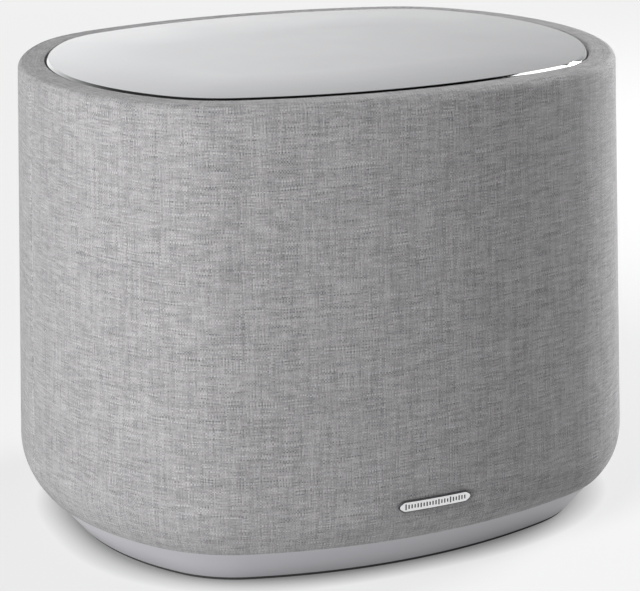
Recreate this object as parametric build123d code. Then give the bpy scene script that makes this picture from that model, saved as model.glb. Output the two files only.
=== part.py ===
from build123d import *
import os
from math import asin, atan2, cos, degrees, hypot, radians, sin, sqrt, tan

# Wireless bass speaker: a cloth-covered cabinet on a drawn-in base, with a glossy top plate.
# Millimetres. The origin is the centre of the footprint on the floor, +Z is up, the front
# faces -Y and +X is to the right of somebody who looks at the front.

# ---- outer form ----------------------------------------------------------------------------
HALF_WIDTH = 170.0          # plan at its widest, along X
HALF_DEPTH = 142.4          # plan at its widest, along Y
FRONT_RADIUS = 302.0        # long arcs at the front and the back
CORNER_RADIUS = 87.0
END_RADIUS = 161.0          # arcs at the left and right ends
WALL_LEAN = 2.38            # degrees that the walls lean in towards the top
WIDEST_Z = 36.8             # height at which the leaning walls reach the widest plan
SHOULDER_Z = 46.0           # below this the wall curls in towards the base
SHOULDER_RADIUS = 34.8
HEM_Z = 22.3                # lower edge of the cloth
RIM_Z = 253.4               # top of the cloth-covered rim
RIM_RADIUS = 4.0
LIP_INSET = 23.4            # inner edge of the rim, next to the top plate
LIP_RADIUS = 1.5
TOP_Z = 254.0               # top face of the top plate
CLOTH = 1.0
GRILLE = 2.4

# ---- top ---------------------------------------------------------------------------------
PLATE_INSET = 24.3
PLATE_THICKNESS = 3.0
PLATE_BEVEL = 1.2
ADHESIVE = 1.0
FRAME_THICKNESS = 5.0
FRAME_INSET = 13.0
POST_PLACES = [(134.0, 0.0), (114.0, 66.0), (-114.0, 66.0), (-134.0, 0.0), (-114.0, -66.0), (114.0, -66.0)]
POST_RADIUS = 6.0

# ---- badge -------------------------------------------------------------------------------
BADGE_LENGTH = 41.9         # to the sharp points, before they are rounded
BADGE_HEIGHT = 4.9
BADGE_TAPER = 3.4           # length of each pointed end
BADGE_ROUNDING = 1.2
BADGE_MARGIN = 0.6          # width of the tray that shows round the plate
BADGE_Z = 43.6
BADGE_STUD_X = 14.0

# ---- base --------------------------------------------------------------------------------
FOOT_HEIGHT = 2.0
SKIRT_TOP_Z = 22.0
SKIRT_TOP_INSET = 10.2
SKIRT_FOOT_INSET = 25.8
FLANGE_TOP_Z = 6.0
FLANGE_INSET = 46.0
BASE_PLATE = 4.0
SKIRT_SCREW_INSET = 41.0

# ---- sealed enclosure ----------------------------------------------------------------------
TUB_INSET = 16.0
TUB_WALL = 4.0
TUB_FLOOR_Z = 64.0
TUB_FLOOR = 8.0
TUB_TOP_Z = 195.0
LID_Z = 196.0
LID_THICKNESS = 6.0
LID_SCREW_INSET = 22.0
CUTOUT_RADIUS = 113.0

# ---- driver, which faces down ------------------------------------------------------------
DRIVER_RADIUS = 123.0
FLANGE_Z = 59.0             # lower face of the basket's flange
DRIVER_SCREW_RADIUS = 117.5
COIL_RADIUS = 25.2
MOTOR_Z = 129.0             # seat of the front pole plate
POLE_PLATE = 7.0
MAGNET = 22.0
BACK_PLATE = 8.0
ROLL_RADIUS = 95.0          # middle of the surround's half roll
ROLL = 9.0

# ---- connection panel in the back ------------------------------------------------------------
PANEL_Z = 113.0
PANEL_Y = 127.5             # outer face of the panel
PANEL_WIDTH = 120.0
PANEL_HEIGHT = 72.0
PANEL_THICKNESS = 3.0
PANEL_GASKET = 1.0
BEZEL_WIDTH = 114.0
BEZEL_HEIGHT = 66.0
BEZEL_WALL = 2.0
BEZEL_CORNER = 7.0
INLET_X = -28.0
POWER_X = 34.0
POWER_Z = 122.0
PAIR_X = 12.0
PORT_X = 12.0
PORT_Z = 101.0
LENS_X = 34.0
LENS_Z = 101.0
PANEL_SCREWS = [(sx * 50.0, PANEL_Z + sz * 25.5) for sx in (-1, 1) for sz in (-1, 1)]

# ---- electronics, on the lid -----------------------------------------------------------------
BOARD_Z = 210.0
BOARD = 1.6
BOARD_SIZE = (112.0, 100.0)
BOARD_X = 62.0
RADIO_Y = -92.0
RADIO_Z = 206.0


# ---- plan of the cabinet -----------------------------------------------------------------
def corner_centre():
    """Centre of the corner arc in the quarter with X and Y above zero, tangent to both neighbours."""
    end_x = HALF_WIDTH - END_RADIUS
    front_y = HALF_DEPTH - FRONT_RADIUS
    span = hypot(end_x, front_y)
    to_end = END_RADIUS - CORNER_RADIUS
    to_front = FRONT_RADIUS - CORNER_RADIUS
    along = (to_end**2 - to_front**2 + span**2) / (2 * span)
    across = sqrt(to_end**2 - along**2)
    ux, uy = -end_x / span, front_y / span
    return end_x + along * ux - across * uy, along * uy + across * ux


def rear_arcs():
    """The five arcs from +X round the back to -X: centre, radius, start angle, size."""
    cx, cy = corner_centre()
    end_x = HALF_WIDTH - END_RADIUS
    front_y = HALF_DEPTH - FRONT_RADIUS
    end_turn = degrees(atan2(cy, cx - end_x))
    front_turn = degrees(atan2(cy - front_y, cx))
    corner = front_turn - end_turn
    return [
        ((end_x, 0.0), END_RADIUS, 0.0, end_turn),
        ((cx, cy), CORNER_RADIUS, end_turn, corner),
        ((0.0, front_y), FRONT_RADIUS, front_turn, 180 - 2 * front_turn),
        ((-cx, cy), CORNER_RADIUS, 180 - front_turn, corner),
        ((-end_x, 0.0), END_RADIUS, 180 - end_turn, end_turn),
    ]


REAR = rear_arcs()
FRONT = [((-x, -y), radius, start + 180, size) for (x, y), radius, start, size in REAR]
WHOLE = REAR + FRONT


def outline(inset):
    """The plan, drawn in all round by an inset, as a face."""
    arcs = [CenterArc(centre, radius - inset, start, size) for centre, radius, start, size in WHOLE]
    return make_face(arcs)


def slab(inset, low, high):
    """A plate with the plan's outline between two heights."""
    return Pos(0, 0, low) * extrude(outline(inset), high - low)


def band(outer, inner, low, high):
    """A ring with the plan's outline between two insets and two heights."""
    return slab(outer, low, high) - slab(inner, low, high)


def carried(section, arcs):
    """Carry a section, drawn as (distance outside the plan, height), along arcs of the plan."""
    spans = []
    for (x, y), radius, start, size in arcs:
        turn = radians(start)
        plane = Plane(origin=(x, y, 0), x_dir=(cos(turn), sin(turn), 0), z_dir=(sin(turn), -cos(turn), 0))
        spans.append(revolve(plane * (Pos(radius, 0) * section), Axis((x, y, 0), (0, 0, 1)), size))
    whole = spans[0]
    for span in spans[1:]:
        whole += span
    return whole


def plan_points(inset, count, first=0.0):
    """Points evenly spaced along the plan at an inset, with the outward angle at each."""
    lengths = [(radius - inset) * radians(size) for _, radius, _, size in WHOLE]
    total = sum(lengths)
    points = []
    for i in range(count):
        left = (i + first) * total / count
        for ((x, y), radius, start, size), length in zip(WHOLE, lengths):
            if left <= length:
                angle = start + size * left / length
                reach = radius - inset
                points.append((x + reach * cos(radians(angle)), y + reach * sin(radians(angle)), angle))
                break
            left -= length
    return points


def turned(points):
    """A solid turned about the Z axis from (radius, height) points."""
    return revolve(Plane.XZ * make_face(Polyline(*points, close=True)), Axis.Z)


def rod(radius, low, high, x=0.0, y=0.0):
    """An upright cylinder between two heights."""
    return Pos(x, y, low) * Cylinder(radius, high - low, align=(Align.CENTER, Align.CENTER, Align.MIN))


def block(x, y, z):
    """A box between two places on each axis."""
    size = (x[1] - x[0], y[1] - y[0], z[1] - z[0])
    return Pos(x[0], y[0], z[0]) * Box(*size, align=(Align.MIN, Align.MIN, Align.MIN))


def group(solids):
    """Separate solids kept together as one sub-part."""
    return Compound(children=list(solids))


def back_plug(radius, near, far, x, z):
    """A cylinder along Y between two depths."""
    return Pos(x, near, z) * (Rot(-90, 0, 0) * rod(radius, 0, far - near))


def back_block(width, height, corner, near, far, x=0.0, z=PANEL_Z):
    """A block with rounded corners along Y between two depths."""
    plane = Plane(origin=(x, near, z), x_dir=(1, 0, 0), z_dir=(0, 1, 0))
    return extrude(plane * RectangleRounded(width, height, corner), far - near)


# ---- section of the cover ------------------------------------------------------------------
def wall_point(z, depth):
    """A place on the leaning wall, at a height and a depth under its outside."""
    return -tan(radians(WALL_LEAN)) * (z - WIDEST_Z) - depth / cos(radians(WALL_LEAN)), z


def shoulder_centre():
    lean = radians(WALL_LEAN)
    x, z = wall_point(SHOULDER_Z, 0.0)
    return x - SHOULDER_RADIUS * cos(lean), z - SHOULDER_RADIUS * sin(lean)


def rim_centre():
    lean = radians(WALL_LEAN)
    z = RIM_Z - RIM_RADIUS
    x, _ = wall_point(z + RIM_RADIUS * sin(lean), 0.0)
    return x - RIM_RADIUS * cos(lean), z


HEM_TURN = degrees(asin((shoulder_centre()[1] - HEM_Z) / SHOULDER_RADIUS))


def cover_wall(depth):
    """Edges from the hem up the wall and over the rim, at a depth under the outside."""
    hem = CenterArc(shoulder_centre(), SHOULDER_RADIUS - depth, -HEM_TURN, HEM_TURN + WALL_LEAN)
    rim = CenterArc(rim_centre(), RIM_RADIUS - depth, WALL_LEAN, 90 - WALL_LEAN)
    return [hem, Line(hem @ 1, rim @ 0), rim]


def cover_lip(depth, foot_z):
    """Edges from the rim across the top and down beside the top plate."""
    lip = CenterArc((LIP_RADIUS - LIP_INSET, RIM_Z - LIP_RADIUS), LIP_RADIUS - depth, 90, 90)
    flat = Line((rim_centre()[0], RIM_Z - depth), lip @ 0)
    return [flat, lip, Line(lip @ 1, ((lip @ 1).X, foot_z))]


def cloth_section():
    foot_z = RIM_Z - CLOTH - GRILLE + 0.2
    outer = cover_wall(0.0) + cover_lip(0.0, foot_z)
    inner = cover_wall(CLOTH) + cover_lip(CLOTH, foot_z)
    ends = [Line(outer[-1] @ 1, inner[-1] @ 1), Line(inner[0] @ 0, outer[0] @ 0)]
    return make_face(outer + inner + ends)


def grille_section():
    foot_z = RIM_Z - CLOTH - GRILLE
    outer = cover_wall(CLOTH) + cover_lip(CLOTH, foot_z)
    inner = cover_wall(CLOTH + GRILLE)
    ends = [Line(outer[-1] @ 1, inner[-1] @ 1), Line(inner[0] @ 0, outer[0] @ 0)]
    return make_face(outer + inner + ends)


# ---- cover: cloth on two stiff grilles -------------------------------------------------------
SLOT = (7.0, 12.0, 30.0)    # width, length through the wall, height
SLOT_Z = 44.0
SLOT_COUNT = 76


def bezel_window():
    return back_block(BEZEL_WIDTH + 0.6, BEZEL_HEIGHT + 0.6, BEZEL_CORNER, 100.0, HALF_DEPTH + 5)


def badge_stud_holes():
    hole = Rot(90, 0, 0) * Cylinder(1.2, 20)
    return [Pos(x, -HALF_DEPTH, BADGE_Z) * hole for x in (-BADGE_STUD_X, BADGE_STUD_X)]


def slots(front):
    """Sound slots round the foot of one grille, with a plain stretch behind the badge."""
    cuts = []
    for x, y, angle in plan_points(CLOTH + GRILLE / 2, SLOT_COUNT, 0.5):
        behind_badge = y < 0 and abs(x) < BADGE_LENGTH / 2 + 8
        if (y < 0) == front and not behind_badge:
            cuts.append(Pos(x, y, SLOT_Z) * (Rot(0, 0, angle) * Box(SLOT[1], SLOT[0], SLOT[2])))
    return cuts


def fabric_front():
    return carried(cloth_section(), FRONT) - badge_stud_holes()


def fabric_rear():
    return carried(cloth_section(), REAR) - bezel_window()


def grille_front():
    return carried(grille_section(), FRONT) - badge_stud_holes() - slots(True)


def grille_rear():
    return carried(grille_section(), REAR) - bezel_window() - slots(False)


# ---- top -----------------------------------------------------------------------------------
FRAME_Z = RIM_Z - CLOTH - GRILLE            # top face of the top frame
HEAD_Z = FRAME_Z - 2.8                      # seat of the long screws' heads


def top_plate():
    plate = slab(PLATE_INSET, TOP_Z - PLATE_THICKNESS, TOP_Z)
    return chamfer(plate.faces().sort_by(Axis.Z)[-1].outer_wire().edges(), PLATE_BEVEL)


def plate_adhesive():
    return band(30.0, 40.0, FRAME_Z, FRAME_Z + ADHESIVE)


def top_frame():
    low = FRAME_Z - FRAME_THICKNESS
    frame = slab(FRAME_INSET, low, FRAME_Z) - slab(FRAME_INSET + 6, low, low + 2.5)
    for y in (-60.0, -20.0, 20.0, 60.0):
        frame += block((-110.0, 110.0), (y - 1.5, y + 1.5), (low, low + 2.5))
    for x, y in POST_PLACES:
        frame += rod(POST_RADIUS, LID_Z + LID_THICKNESS, low + 2.5, x, y)
    for x, y in POST_PLACES:
        frame -= rod(1.7, LID_Z, FRAME_Z, x, y)
        frame -= rod(4.0, HEAD_Z, FRAME_Z, x, y)
    return frame


def screw(head, shank, seat, tip, x, y, up=True):
    """A screw with a hexagon socket; its head stands on the seat height, above it or below it."""
    thickness = 0.65 * head
    low, high = (seat, seat + thickness) if up else (seat - thickness, seat)
    socket = 0.4 * head
    depth = 0.6 * thickness
    start = high - depth if up else low
    hexagon = Pos(x, y, start) * extrude(RegularPolygon(socket, 6), depth)
    ends = (tip, low) if up else (high, tip)
    return rod(head, low, high, x, y) - hexagon + rod(shank, *ends, x, y)


def top_screws():
    return group(screw(3.6, 1.5, HEAD_Z, LID_Z + 1.5, x, y) for x, y in POST_PLACES)


# ---- badge ---------------------------------------------------------------------------------
def front_skin(near, far):
    """The stretch between two depths outside the long front arc, tall enough for the badge."""
    height = BADGE_HEIGHT + 10
    centre = Pos(0, FRONT_RADIUS - HALF_DEPTH, BADGE_Z)
    return centre * Cylinder(FRONT_RADIUS + far, height) - centre * Cylinder(FRONT_RADIUS + near, height)


def badge_prism(margin):
    """A bar with pointed ends through the front, larger than the badge by a margin all round."""
    tip = BADGE_LENGTH / 2 + margin
    shoulder = tip - BADGE_TAPER
    side = BADGE_HEIGHT / 2 + margin
    upper = [(tip, 0), (shoulder, side), (-shoulder, side)]
    lower = [(-x, -z) for x, z in upper]
    bar = make_face(Polyline(*upper, *lower, close=True))
    bar = fillet(bar.vertices(), BADGE_ROUNDING)
    return extrude(Plane(origin=(0, -HALF_DEPTH + 8, BADGE_Z), x_dir=(1, 0, 0), z_dir=(0, -1, 0)) * bar, 16)


def badge_tray():
    tray = front_skin(-0.3, 0.7) & badge_prism(BADGE_MARGIN)
    return tray - (front_skin(0.1, 1.5) & badge_prism(0.1)) - badge_stud_holes()


def badge_plate():
    plate = front_skin(0.1, 1.0) & badge_prism(0.0)
    for x in (-BADGE_STUD_X, BADGE_STUD_X):
        stud = Pos(x, -HALF_DEPTH + 2.6, BADGE_Z) * (Rot(90, 0, 0) * Cylinder(1.0, 6.4))
        plate += stud
    return plate


def badge_nuts():
    nuts = []
    for x in (-BADGE_STUD_X, BADGE_STUD_X):
        place = Pos(x, -HALF_DEPTH + CLOTH + GRILLE + 1.8, BADGE_Z) * Rot(90, 0, 0)
        nuts.append(place * Cylinder(3.0, 1.0) - place * Cylinder(1.05, 1.0))
    return group(nuts)


# ---- base ----------------------------------------------------------------------------------
def base_skirt():
    lean = (SKIRT_FOOT_INSET - SKIRT_TOP_INSET) / (SKIRT_TOP_Z - FOOT_HEIGHT)
    wall = 4.7                                  # wall thickness, measured level
    inside_foot = SKIRT_FOOT_INSET + wall - lean * (FLANGE_TOP_Z - FOOT_HEIGHT)
    rib = (14.6, 17.5)                          # insets of the rib that centres the grilles
    shelf_z = SKIRT_TOP_Z - (rib[1] - SKIRT_TOP_INSET - wall) / lean
    section = Polyline(
        (-SKIRT_TOP_INSET, SKIRT_TOP_Z),
        (-SKIRT_FOOT_INSET, FOOT_HEIGHT),
        (-FLANGE_INSET, FOOT_HEIGHT),
        (-FLANGE_INSET, FLANGE_TOP_Z),
        (-inside_foot, FLANGE_TOP_Z),
        (-rib[1], shelf_z),
        (-rib[1], SKIRT_TOP_Z + 10),
        (-rib[0], SKIRT_TOP_Z + 10),
        (-rib[0], SKIRT_TOP_Z),
        close=True,
    )
    skirt = carried(make_face(section), WHOLE)
    for x, y, _ in plan_points(SKIRT_SCREW_INSET, 8, 0.5):
        skirt -= rod(1.7, FOOT_HEIGHT, FLANGE_TOP_Z, x, y)
        skirt -= rod(3.6, FOOT_HEIGHT, FOOT_HEIGHT + 2.4, x, y)
    return skirt


def base_plate():
    plate = slab(28.0, FLANGE_TOP_Z, FLANGE_TOP_Z + BASE_PLATE)
    for x, y in POST_PLACES:
        plate -= rod(2.2, FLANGE_TOP_Z, FLANGE_TOP_Z + BASE_PLATE, x, y)
        plate -= rod(4.4, FLANGE_TOP_Z, FLANGE_TOP_Z + 2.8, x, y)
    for x, y, _ in plan_points(SKIRT_SCREW_INSET, 8, 0.5):
        plate -= rod(1.6, FLANGE_TOP_Z, FLANGE_TOP_Z + BASE_PLATE - 1, x, y)
    return plate


def foot_ring():
    return band(27.5, 35.5, 0.0, FOOT_HEIGHT)


def skirt_screws():
    places = plan_points(SKIRT_SCREW_INSET, 8, 0.5)
    tip = FLANGE_TOP_Z + BASE_PLATE - 1.5
    return group(screw(3.2, 1.5, FOOT_HEIGHT + 2.4, tip, x, y, up=False) for x, y, _ in places)


def support_pillars():
    low = FLANGE_TOP_Z + BASE_PLATE
    pillar = rod(POST_RADIUS, low, TUB_FLOOR_Z) - rod(2.2, low, TUB_FLOOR_Z)
    return group(Pos(x, y, 0) * pillar for x, y in POST_PLACES)


def pillar_screws():
    seat = FLANGE_TOP_Z + 2.8
    tip = TUB_FLOOR_Z + TUB_FLOOR - 2.5
    return group(screw(4.0, 2.0, seat, tip, x, y, up=False) for x, y in POST_PLACES)


# ---- sealed enclosure ------------------------------------------------------------------------
SEAT_Y = PANEL_Y - PANEL_THICKNESS - PANEL_GASKET       # flat seat for the panel and its gasket


def enclosure_tub():
    tub = slab(TUB_INSET, TUB_FLOOR_Z, TUB_TOP_Z)
    tub -= slab(TUB_INSET + TUB_WALL, TUB_FLOOR_Z + TUB_FLOOR, TUB_TOP_Z)
    tub += band(TUB_INSET, TUB_INSET + 12, TUB_TOP_Z - 5, TUB_TOP_Z)
    tub += back_block(PANEL_WIDTH + 8, PANEL_HEIGHT + 8, 4.0, SEAT_Y - 13, SEAT_Y)
    tub -= back_block(PANEL_WIDTH + 20, PANEL_HEIGHT + 8, 4.0, SEAT_Y, HALF_DEPTH)
    tub -= back_block(94.0, 50.0, 6.0, SEAT_Y - 20, SEAT_Y)
    tub -= rod(CUTOUT_RADIUS, TUB_FLOOR_Z, TUB_FLOOR_Z + TUB_FLOOR)
    for x, y in POST_PLACES:
        tub -= rod(2.1, TUB_FLOOR_Z, TUB_FLOOR_Z + TUB_FLOOR - 2, x, y)
    for x, y in driver_screw_places():
        tub -= rod(2.1, TUB_FLOOR_Z, TUB_FLOOR_Z + TUB_FLOOR - 1, x, y)
    for x, y, _ in plan_points(LID_SCREW_INSET, 12, 0.5):
        tub -= rod(1.6, TUB_TOP_Z - 5, TUB_TOP_Z, x, y)
    for x, z in PANEL_SCREWS:
        tub -= back_plug(1.6, SEAT_Y - 10, SEAT_Y, x, z)
    return tub


def lid_gasket():
    gasket = band(TUB_INSET + 1, TUB_INSET + 11, TUB_TOP_Z, LID_Z)
    for x, y, _ in plan_points(LID_SCREW_INSET, 12, 0.5):
        gasket -= rod(2.0, TUB_TOP_Z, LID_Z, x, y)
    return gasket


GROMMETS = [(-28.0, 92.0), (-46.0, 90.0)]


def enclosure_lid():
    top = LID_Z + LID_THICKNESS
    lid = slab(TUB_INSET, LID_Z, top)
    for x in (-60.0, 0.0, 60.0):
        lid += block((x - 1.5, x + 1.5), (-78.0, 78.0), (LID_Z - 5, LID_Z))
    for x, y, _ in plan_points(LID_SCREW_INSET, 12, 0.5):
        lid -= rod(1.9, LID_Z, top, x, y)
    for x, y in POST_PLACES:
        lid -= rod(1.6, LID_Z + 1, top, x, y)
    for x, y in GROMMETS:
        lid -= rod(5.0, LID_Z, top, x, y)
    for x, y in standoff_places():
        lid -= rod(1.3, top - 3, top, x, y)
    return lid


def lid_screws():
    places = plan_points(LID_SCREW_INSET, 12, 0.5)
    return group(screw(3.4, 1.5, LID_Z + LID_THICKNESS, TUB_TOP_Z - 4.5, x, y) for x, y, _ in places)


def braces():
    """Two upright boards across the tub with a large window in each."""
    plates = []
    for x in (-115.0, 115.0):
        plate = block((x - 2, x + 2), (-90.0, 90.0), (TUB_FLOOR_Z + TUB_FLOOR, TUB_TOP_Z - 6))
        plate -= block((x - 2, x + 2), (-60.0, 60.0), (95.0, 165.0))
        plates.append(plate)
    return group(plates)


def damping_pads():
    pads = [block(x, (-48.0, 48.0), (80.0, 184.0)) for x in ((-139.0, -120.0), (120.0, 139.0))]
    return group(fillet(pad.edges(), 5) for pad in pads)


# ---- driver ----------------------------------------------------------------------------------
def driver_screw_places():
    turns = [radians(22.5 + 45 * i) for i in range(8)]
    return [(DRIVER_SCREW_RADIUS * cos(turn), DRIVER_SCREW_RADIUS * sin(turn)) for turn in turns]


def driver_basket():
    basket = turned([
        (104, FLANGE_Z), (DRIVER_RADIUS, FLANGE_Z), (DRIVER_RADIUS, 63), (111, 63), (111, 72),
        (70, 122), (70, MOTOR_Z), (36, MOTOR_Z), (36, 126), (64, 126), (64, 120), (104, 71),
    ])
    for i in range(6):
        window = Pos(90, 0, 87) * Box(70, 46, 20)
        basket -= Rot(0, 0, 60 * i + 30) * window
    basket += turned([(66, 104), (78.5, 104), (78.5, 107), (66, 107)])
    basket += block((-6, 6), (72.5, 89.5), (112, 114.5))
    for x, y in driver_screw_places():
        basket -= rod(2.3, FLANGE_Z, 63, x, y)
    return basket


def driver_gasket():
    gasket = turned([(113.5, 63), (DRIVER_RADIUS, 63), (DRIVER_RADIUS, TUB_FLOOR_Z), (113.5, TUB_FLOOR_Z)])
    for x, y in driver_screw_places():
        gasket -= rod(2.3, 63, TUB_FLOOR_Z, x, y)
    return gasket


def driver_screws():
    return group(screw(3.8, 2.0, FLANGE_Z, 70.5, x, y, up=False) for x, y in driver_screw_places())


def surround():
    """Half roll of rubber that hangs below the cone's edge, with a flat lip on each side."""
    low, high = FLANGE_Z - 0.8, FLANGE_Z
    middle = (low + high) / 2
    outer = CenterArc((ROLL_RADIUS, middle), ROLL, 180, 180)
    inner = CenterArc((ROLL_RADIUS, middle), ROLL - 0.8, 180, 180)
    edges = [outer, inner]
    for side, lip in ((-1, 80), (1, 112)):
        outside = ROLL_RADIUS + side * ROLL
        inside = ROLL_RADIUS + side * (ROLL - 0.8)
        under = [(outside, middle), (outside, low), (lip, low)]
        edges.append(Polyline(*under, (lip, high), (inside, high), (inside, middle)))
    return revolve(Plane.XZ * make_face(edges), Axis.Z)


def cone():
    return turned([(86, 59), (86, 60.2), (80.5, 60.2), (26.4, 97), (25.3, 97), (25.3, 95.6), (79.6, 59)])


def dust_cap():
    front = ThreePointArc((0, 78), (17.5, 80.4), (34, 87.4))
    back = ThreePointArc((0, 79), (17, 81.4), (33.2, 88.2))
    rim = Polyline((34, 87.4), (34, 89.3), (33.2, 89.3), (33.2, 88.2))
    return revolve(Plane.XZ * make_face([front, back, Line((0, 78), (0, 79)), rim]), Axis.Z)


def coil_former():
    inner = COIL_RADIUS - 0.3
    return turned([(inner, 96), (COIL_RADIUS, 96), (COIL_RADIUS, 144.5), (inner, 144.5)])


def voice_coil():
    outer = COIL_RADIUS + 1.4
    return turned([(COIL_RADIUS, 120.5), (outer, 120.5), (outer, 144.5), (COIL_RADIUS, 144.5)])


def spider():
    """Corrugated cloth disc that centres the coil."""
    folds = 8
    first, last = COIL_RADIUS + 0.05, 64.0
    step = (last - first) / (2 * folds)
    upper = [(first + step * i, 103.8 + (1.6 if i % 2 else 0.0)) for i in range(2 * folds + 1)]
    upper += [(76, 103.9)]
    lower = [(r, z - 0.8) for r, z in reversed(upper)]
    return turned(upper + lower)


def front_pole_plate():
    top = MOTOR_Z + POLE_PLATE
    return turned([(27.4, MOTOR_Z), (64, MOTOR_Z), (64, top), (27.4, top)])


def magnet_ring():
    low = MOTOR_Z + POLE_PLATE
    return turned([(38, low), (72, low), (72, low + MAGNET), (38, low + MAGNET)])


def back_pole_plate():
    low = MOTOR_Z + POLE_PLATE + MAGNET
    pole = COIL_RADIUS - 1.0
    top = low + BACK_PLATE
    return turned([(8, 127), (pole, 127), (pole, low), (66, low), (66, top), (8, top)])


def terminal_strip():
    strip = block((-14, 14), (89.5, 92), (100, 116))
    for x in (-8, 8):
        strip += block((x - 2.5, x + 2.5), (92, 92.8), (104, 112))
    return strip


def lead(points, radii, radius):
    """A wire along straight runs joined by tangent arcs."""
    path = FilletPolyline(*points, radius=radii)
    plane = Plane(origin=path @ 0, z_dir=path % 0)
    return sweep(plane * Circle(radius), path=path)


def tinsel_leads():
    leads = []
    for x in (-8, 8):
        points = [(x, 91.2, 99.9), (x, 91.2, 91), (x, 72, 87), (x, 50.5, 83.4)]
        leads.append(lead(points, [4.0, 8.0], 0.8))
    return group(leads)


# ---- electronics on the lid ------------------------------------------------------------------
LID_TOP = LID_Z + LID_THICKNESS
BOARD_TOP = BOARD_Z + BOARD


def board_corners(x):
    half_x, half_y = BOARD_SIZE[0] / 2 - 5, BOARD_SIZE[1] / 2 - 5
    return [(x + sx * half_x, sy * half_y) for sx in (-1, 1) for sy in (-1, 1)]


def standoff_places():
    return board_corners(-BOARD_X) + board_corners(BOARD_X) + [(-20.0, RADIO_Y), (20.0, RADIO_Y)]


def printed_board(x):
    half_x, half_y = BOARD_SIZE[0] / 2, BOARD_SIZE[1] / 2
    board = block((x - half_x, x + half_x), (-half_y, half_y), (BOARD_Z, BOARD_TOP))
    for px, py in board_corners(x):
        board -= rod(1.4, BOARD_Z, BOARD_TOP, px, py)
    return board


def amplifier_board():
    board = printed_board(-BOARD_X)
    board += block((-36, -24), (38, 48), (BOARD_TOP, BOARD_TOP + 8))        # driver lead socket
    for i in range(4):
        board += block((-96.6, -92), (-34 + 18 * i, -20 + 18 * i), (BOARD_TOP, BOARD_TOP + 16))
    for i in range(3):
        board += block((-44 + 12 * i, -36 + 12 * i), (-30, -20), (BOARD_TOP, BOARD_TOP + 1.4))
    return board


def power_board():
    board = printed_board(BOARD_X)
    board += block((14, 30), (34, 46), (BOARD_TOP, BOARD_TOP + 9))          # mains lead socket
    board += block((40, 62), (30, 46), (BOARD_TOP, BOARD_TOP + 12))         # mains filter
    return board


def heat_sink():
    sink = block((-103, -97), (-37, 37), (BOARD_TOP, BOARD_TOP + 25))
    for i in range(10):
        y = -36 + 8 * i
        sink += block((-114, -103), (y - 1, y + 1), (BOARD_TOP, BOARD_TOP + 25))
    return sink


def inductors():
    return group(Pos(-62, y, BOARD_TOP + 4.1) * Torus(9, 4) for y in (-26, 4))


def capacitors():
    return group(rod(9.0, BOARD_TOP, BOARD_TOP + 27, 22, y) for y in (-38, -17, 4))


def transformer():
    core = block((62, 98), (-28, 8), (BOARD_TOP, BOARD_TOP + 26))
    winding = block((66, 94), (-36, 16), (BOARD_TOP + 4, BOARD_TOP + 22))
    return core + fillet(winding.edges().filter_by(Axis.X), 5)


def wireless_module():
    """Radio board with a screening can and a printed aerial that stands up at its front edge."""
    top = RADIO_Z + 1.2
    module = block((-26, 26), (RADIO_Y - 18, RADIO_Y + 16), (RADIO_Z, top))
    for x in (-20.0, 20.0):
        module -= rod(1.4, RADIO_Z, top, x, RADIO_Y)
    module += block((-14, 14), (RADIO_Y - 10, RADIO_Y + 12), (top, top + 3))
    return module + block((-24, 24), (RADIO_Y - 18, RADIO_Y - 17), (top, top + 12))


def board_standoffs():
    posts = []
    for i, (x, y) in enumerate(standoff_places()):
        top = BOARD_Z if i < 8 else RADIO_Z
        posts.append(rod(3.2, LID_TOP, top, x, y) - rod(1.3, LID_TOP, top, x, y))
    return group(posts)


def board_screws():
    screws = []
    for i, (x, y) in enumerate(standoff_places()):
        seat = BOARD_TOP if i < 8 else RADIO_Z + 1.2
        screws.append(screw(2.6, 1.2, seat, LID_TOP - 2.5, x, y))
    return group(screws)


def lead_grommets():
    rings = []
    for x, y in GROMMETS:
        ring = rod(4.9, LID_Z, LID_TOP, x, y) + rod(7.0, LID_TOP, LID_TOP + 1.5, x, y)
        rings.append(ring - rod(2.9, LID_Z, LID_TOP + 1.5, x, y))
    return group(rings)


def mains_lead():
    x, y = GROMMETS[0]
    points = [(INLET_X, 104, PANEL_Z), (x - 1, y, PANEL_Z + 6), (x + 1, y + 1, PANEL_Z + 45), (x, y, 190)]
    points += [(x, y + 0.1, 212), (x + 22, y - 20, 232), (22, 40, 234), (22, 40, BOARD_TOP + 9)]
    return lead(points, [4.5, 30.0, 30.0, 10.0, 12.0, 6.0], 2.2)


def driver_lead():
    x, y = GROMMETS[1]
    points = [(-30, 43, BOARD_TOP + 8), (-31, 44, 233), (-40, 74, 231), (x, y, 214), (x, y + 0.1, 185)]
    points += [(x + 6, y + 6, 150), (-14, 107, 116), (0, 106, 108), (0, 92, 108)]
    return lead(points, [6.0, 9.0, 8.0, 30.0, 20.0, 6.0, 6.0], 1.8)


# ---- connection panel ------------------------------------------------------------------------
PANEL_BACK = PANEL_Y - PANEL_THICKNESS


def connection_panel():
    panel = back_block(PANEL_WIDTH, PANEL_HEIGHT, 6.0, PANEL_BACK, PANEL_Y)
    panel -= back_block(24.4, 15.4, 5.0, PANEL_BACK, PANEL_Y, INLET_X)
    panel -= back_plug(6.3, PANEL_BACK, PANEL_Y, POWER_X, POWER_Z)
    panel -= back_plug(4.3, PANEL_BACK, PANEL_Y, PAIR_X, POWER_Z)
    panel -= back_plug(1.7, PANEL_BACK, PANEL_Y, LENS_X, LENS_Z)
    panel -= back_block(9.4, 3.6, 1.5, PANEL_BACK, PANEL_Y, PORT_X, PORT_Z)
    for x, z in PANEL_SCREWS:
        panel -= back_plug(2.0, PANEL_BACK, PANEL_Y, x, z)
    return panel


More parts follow.
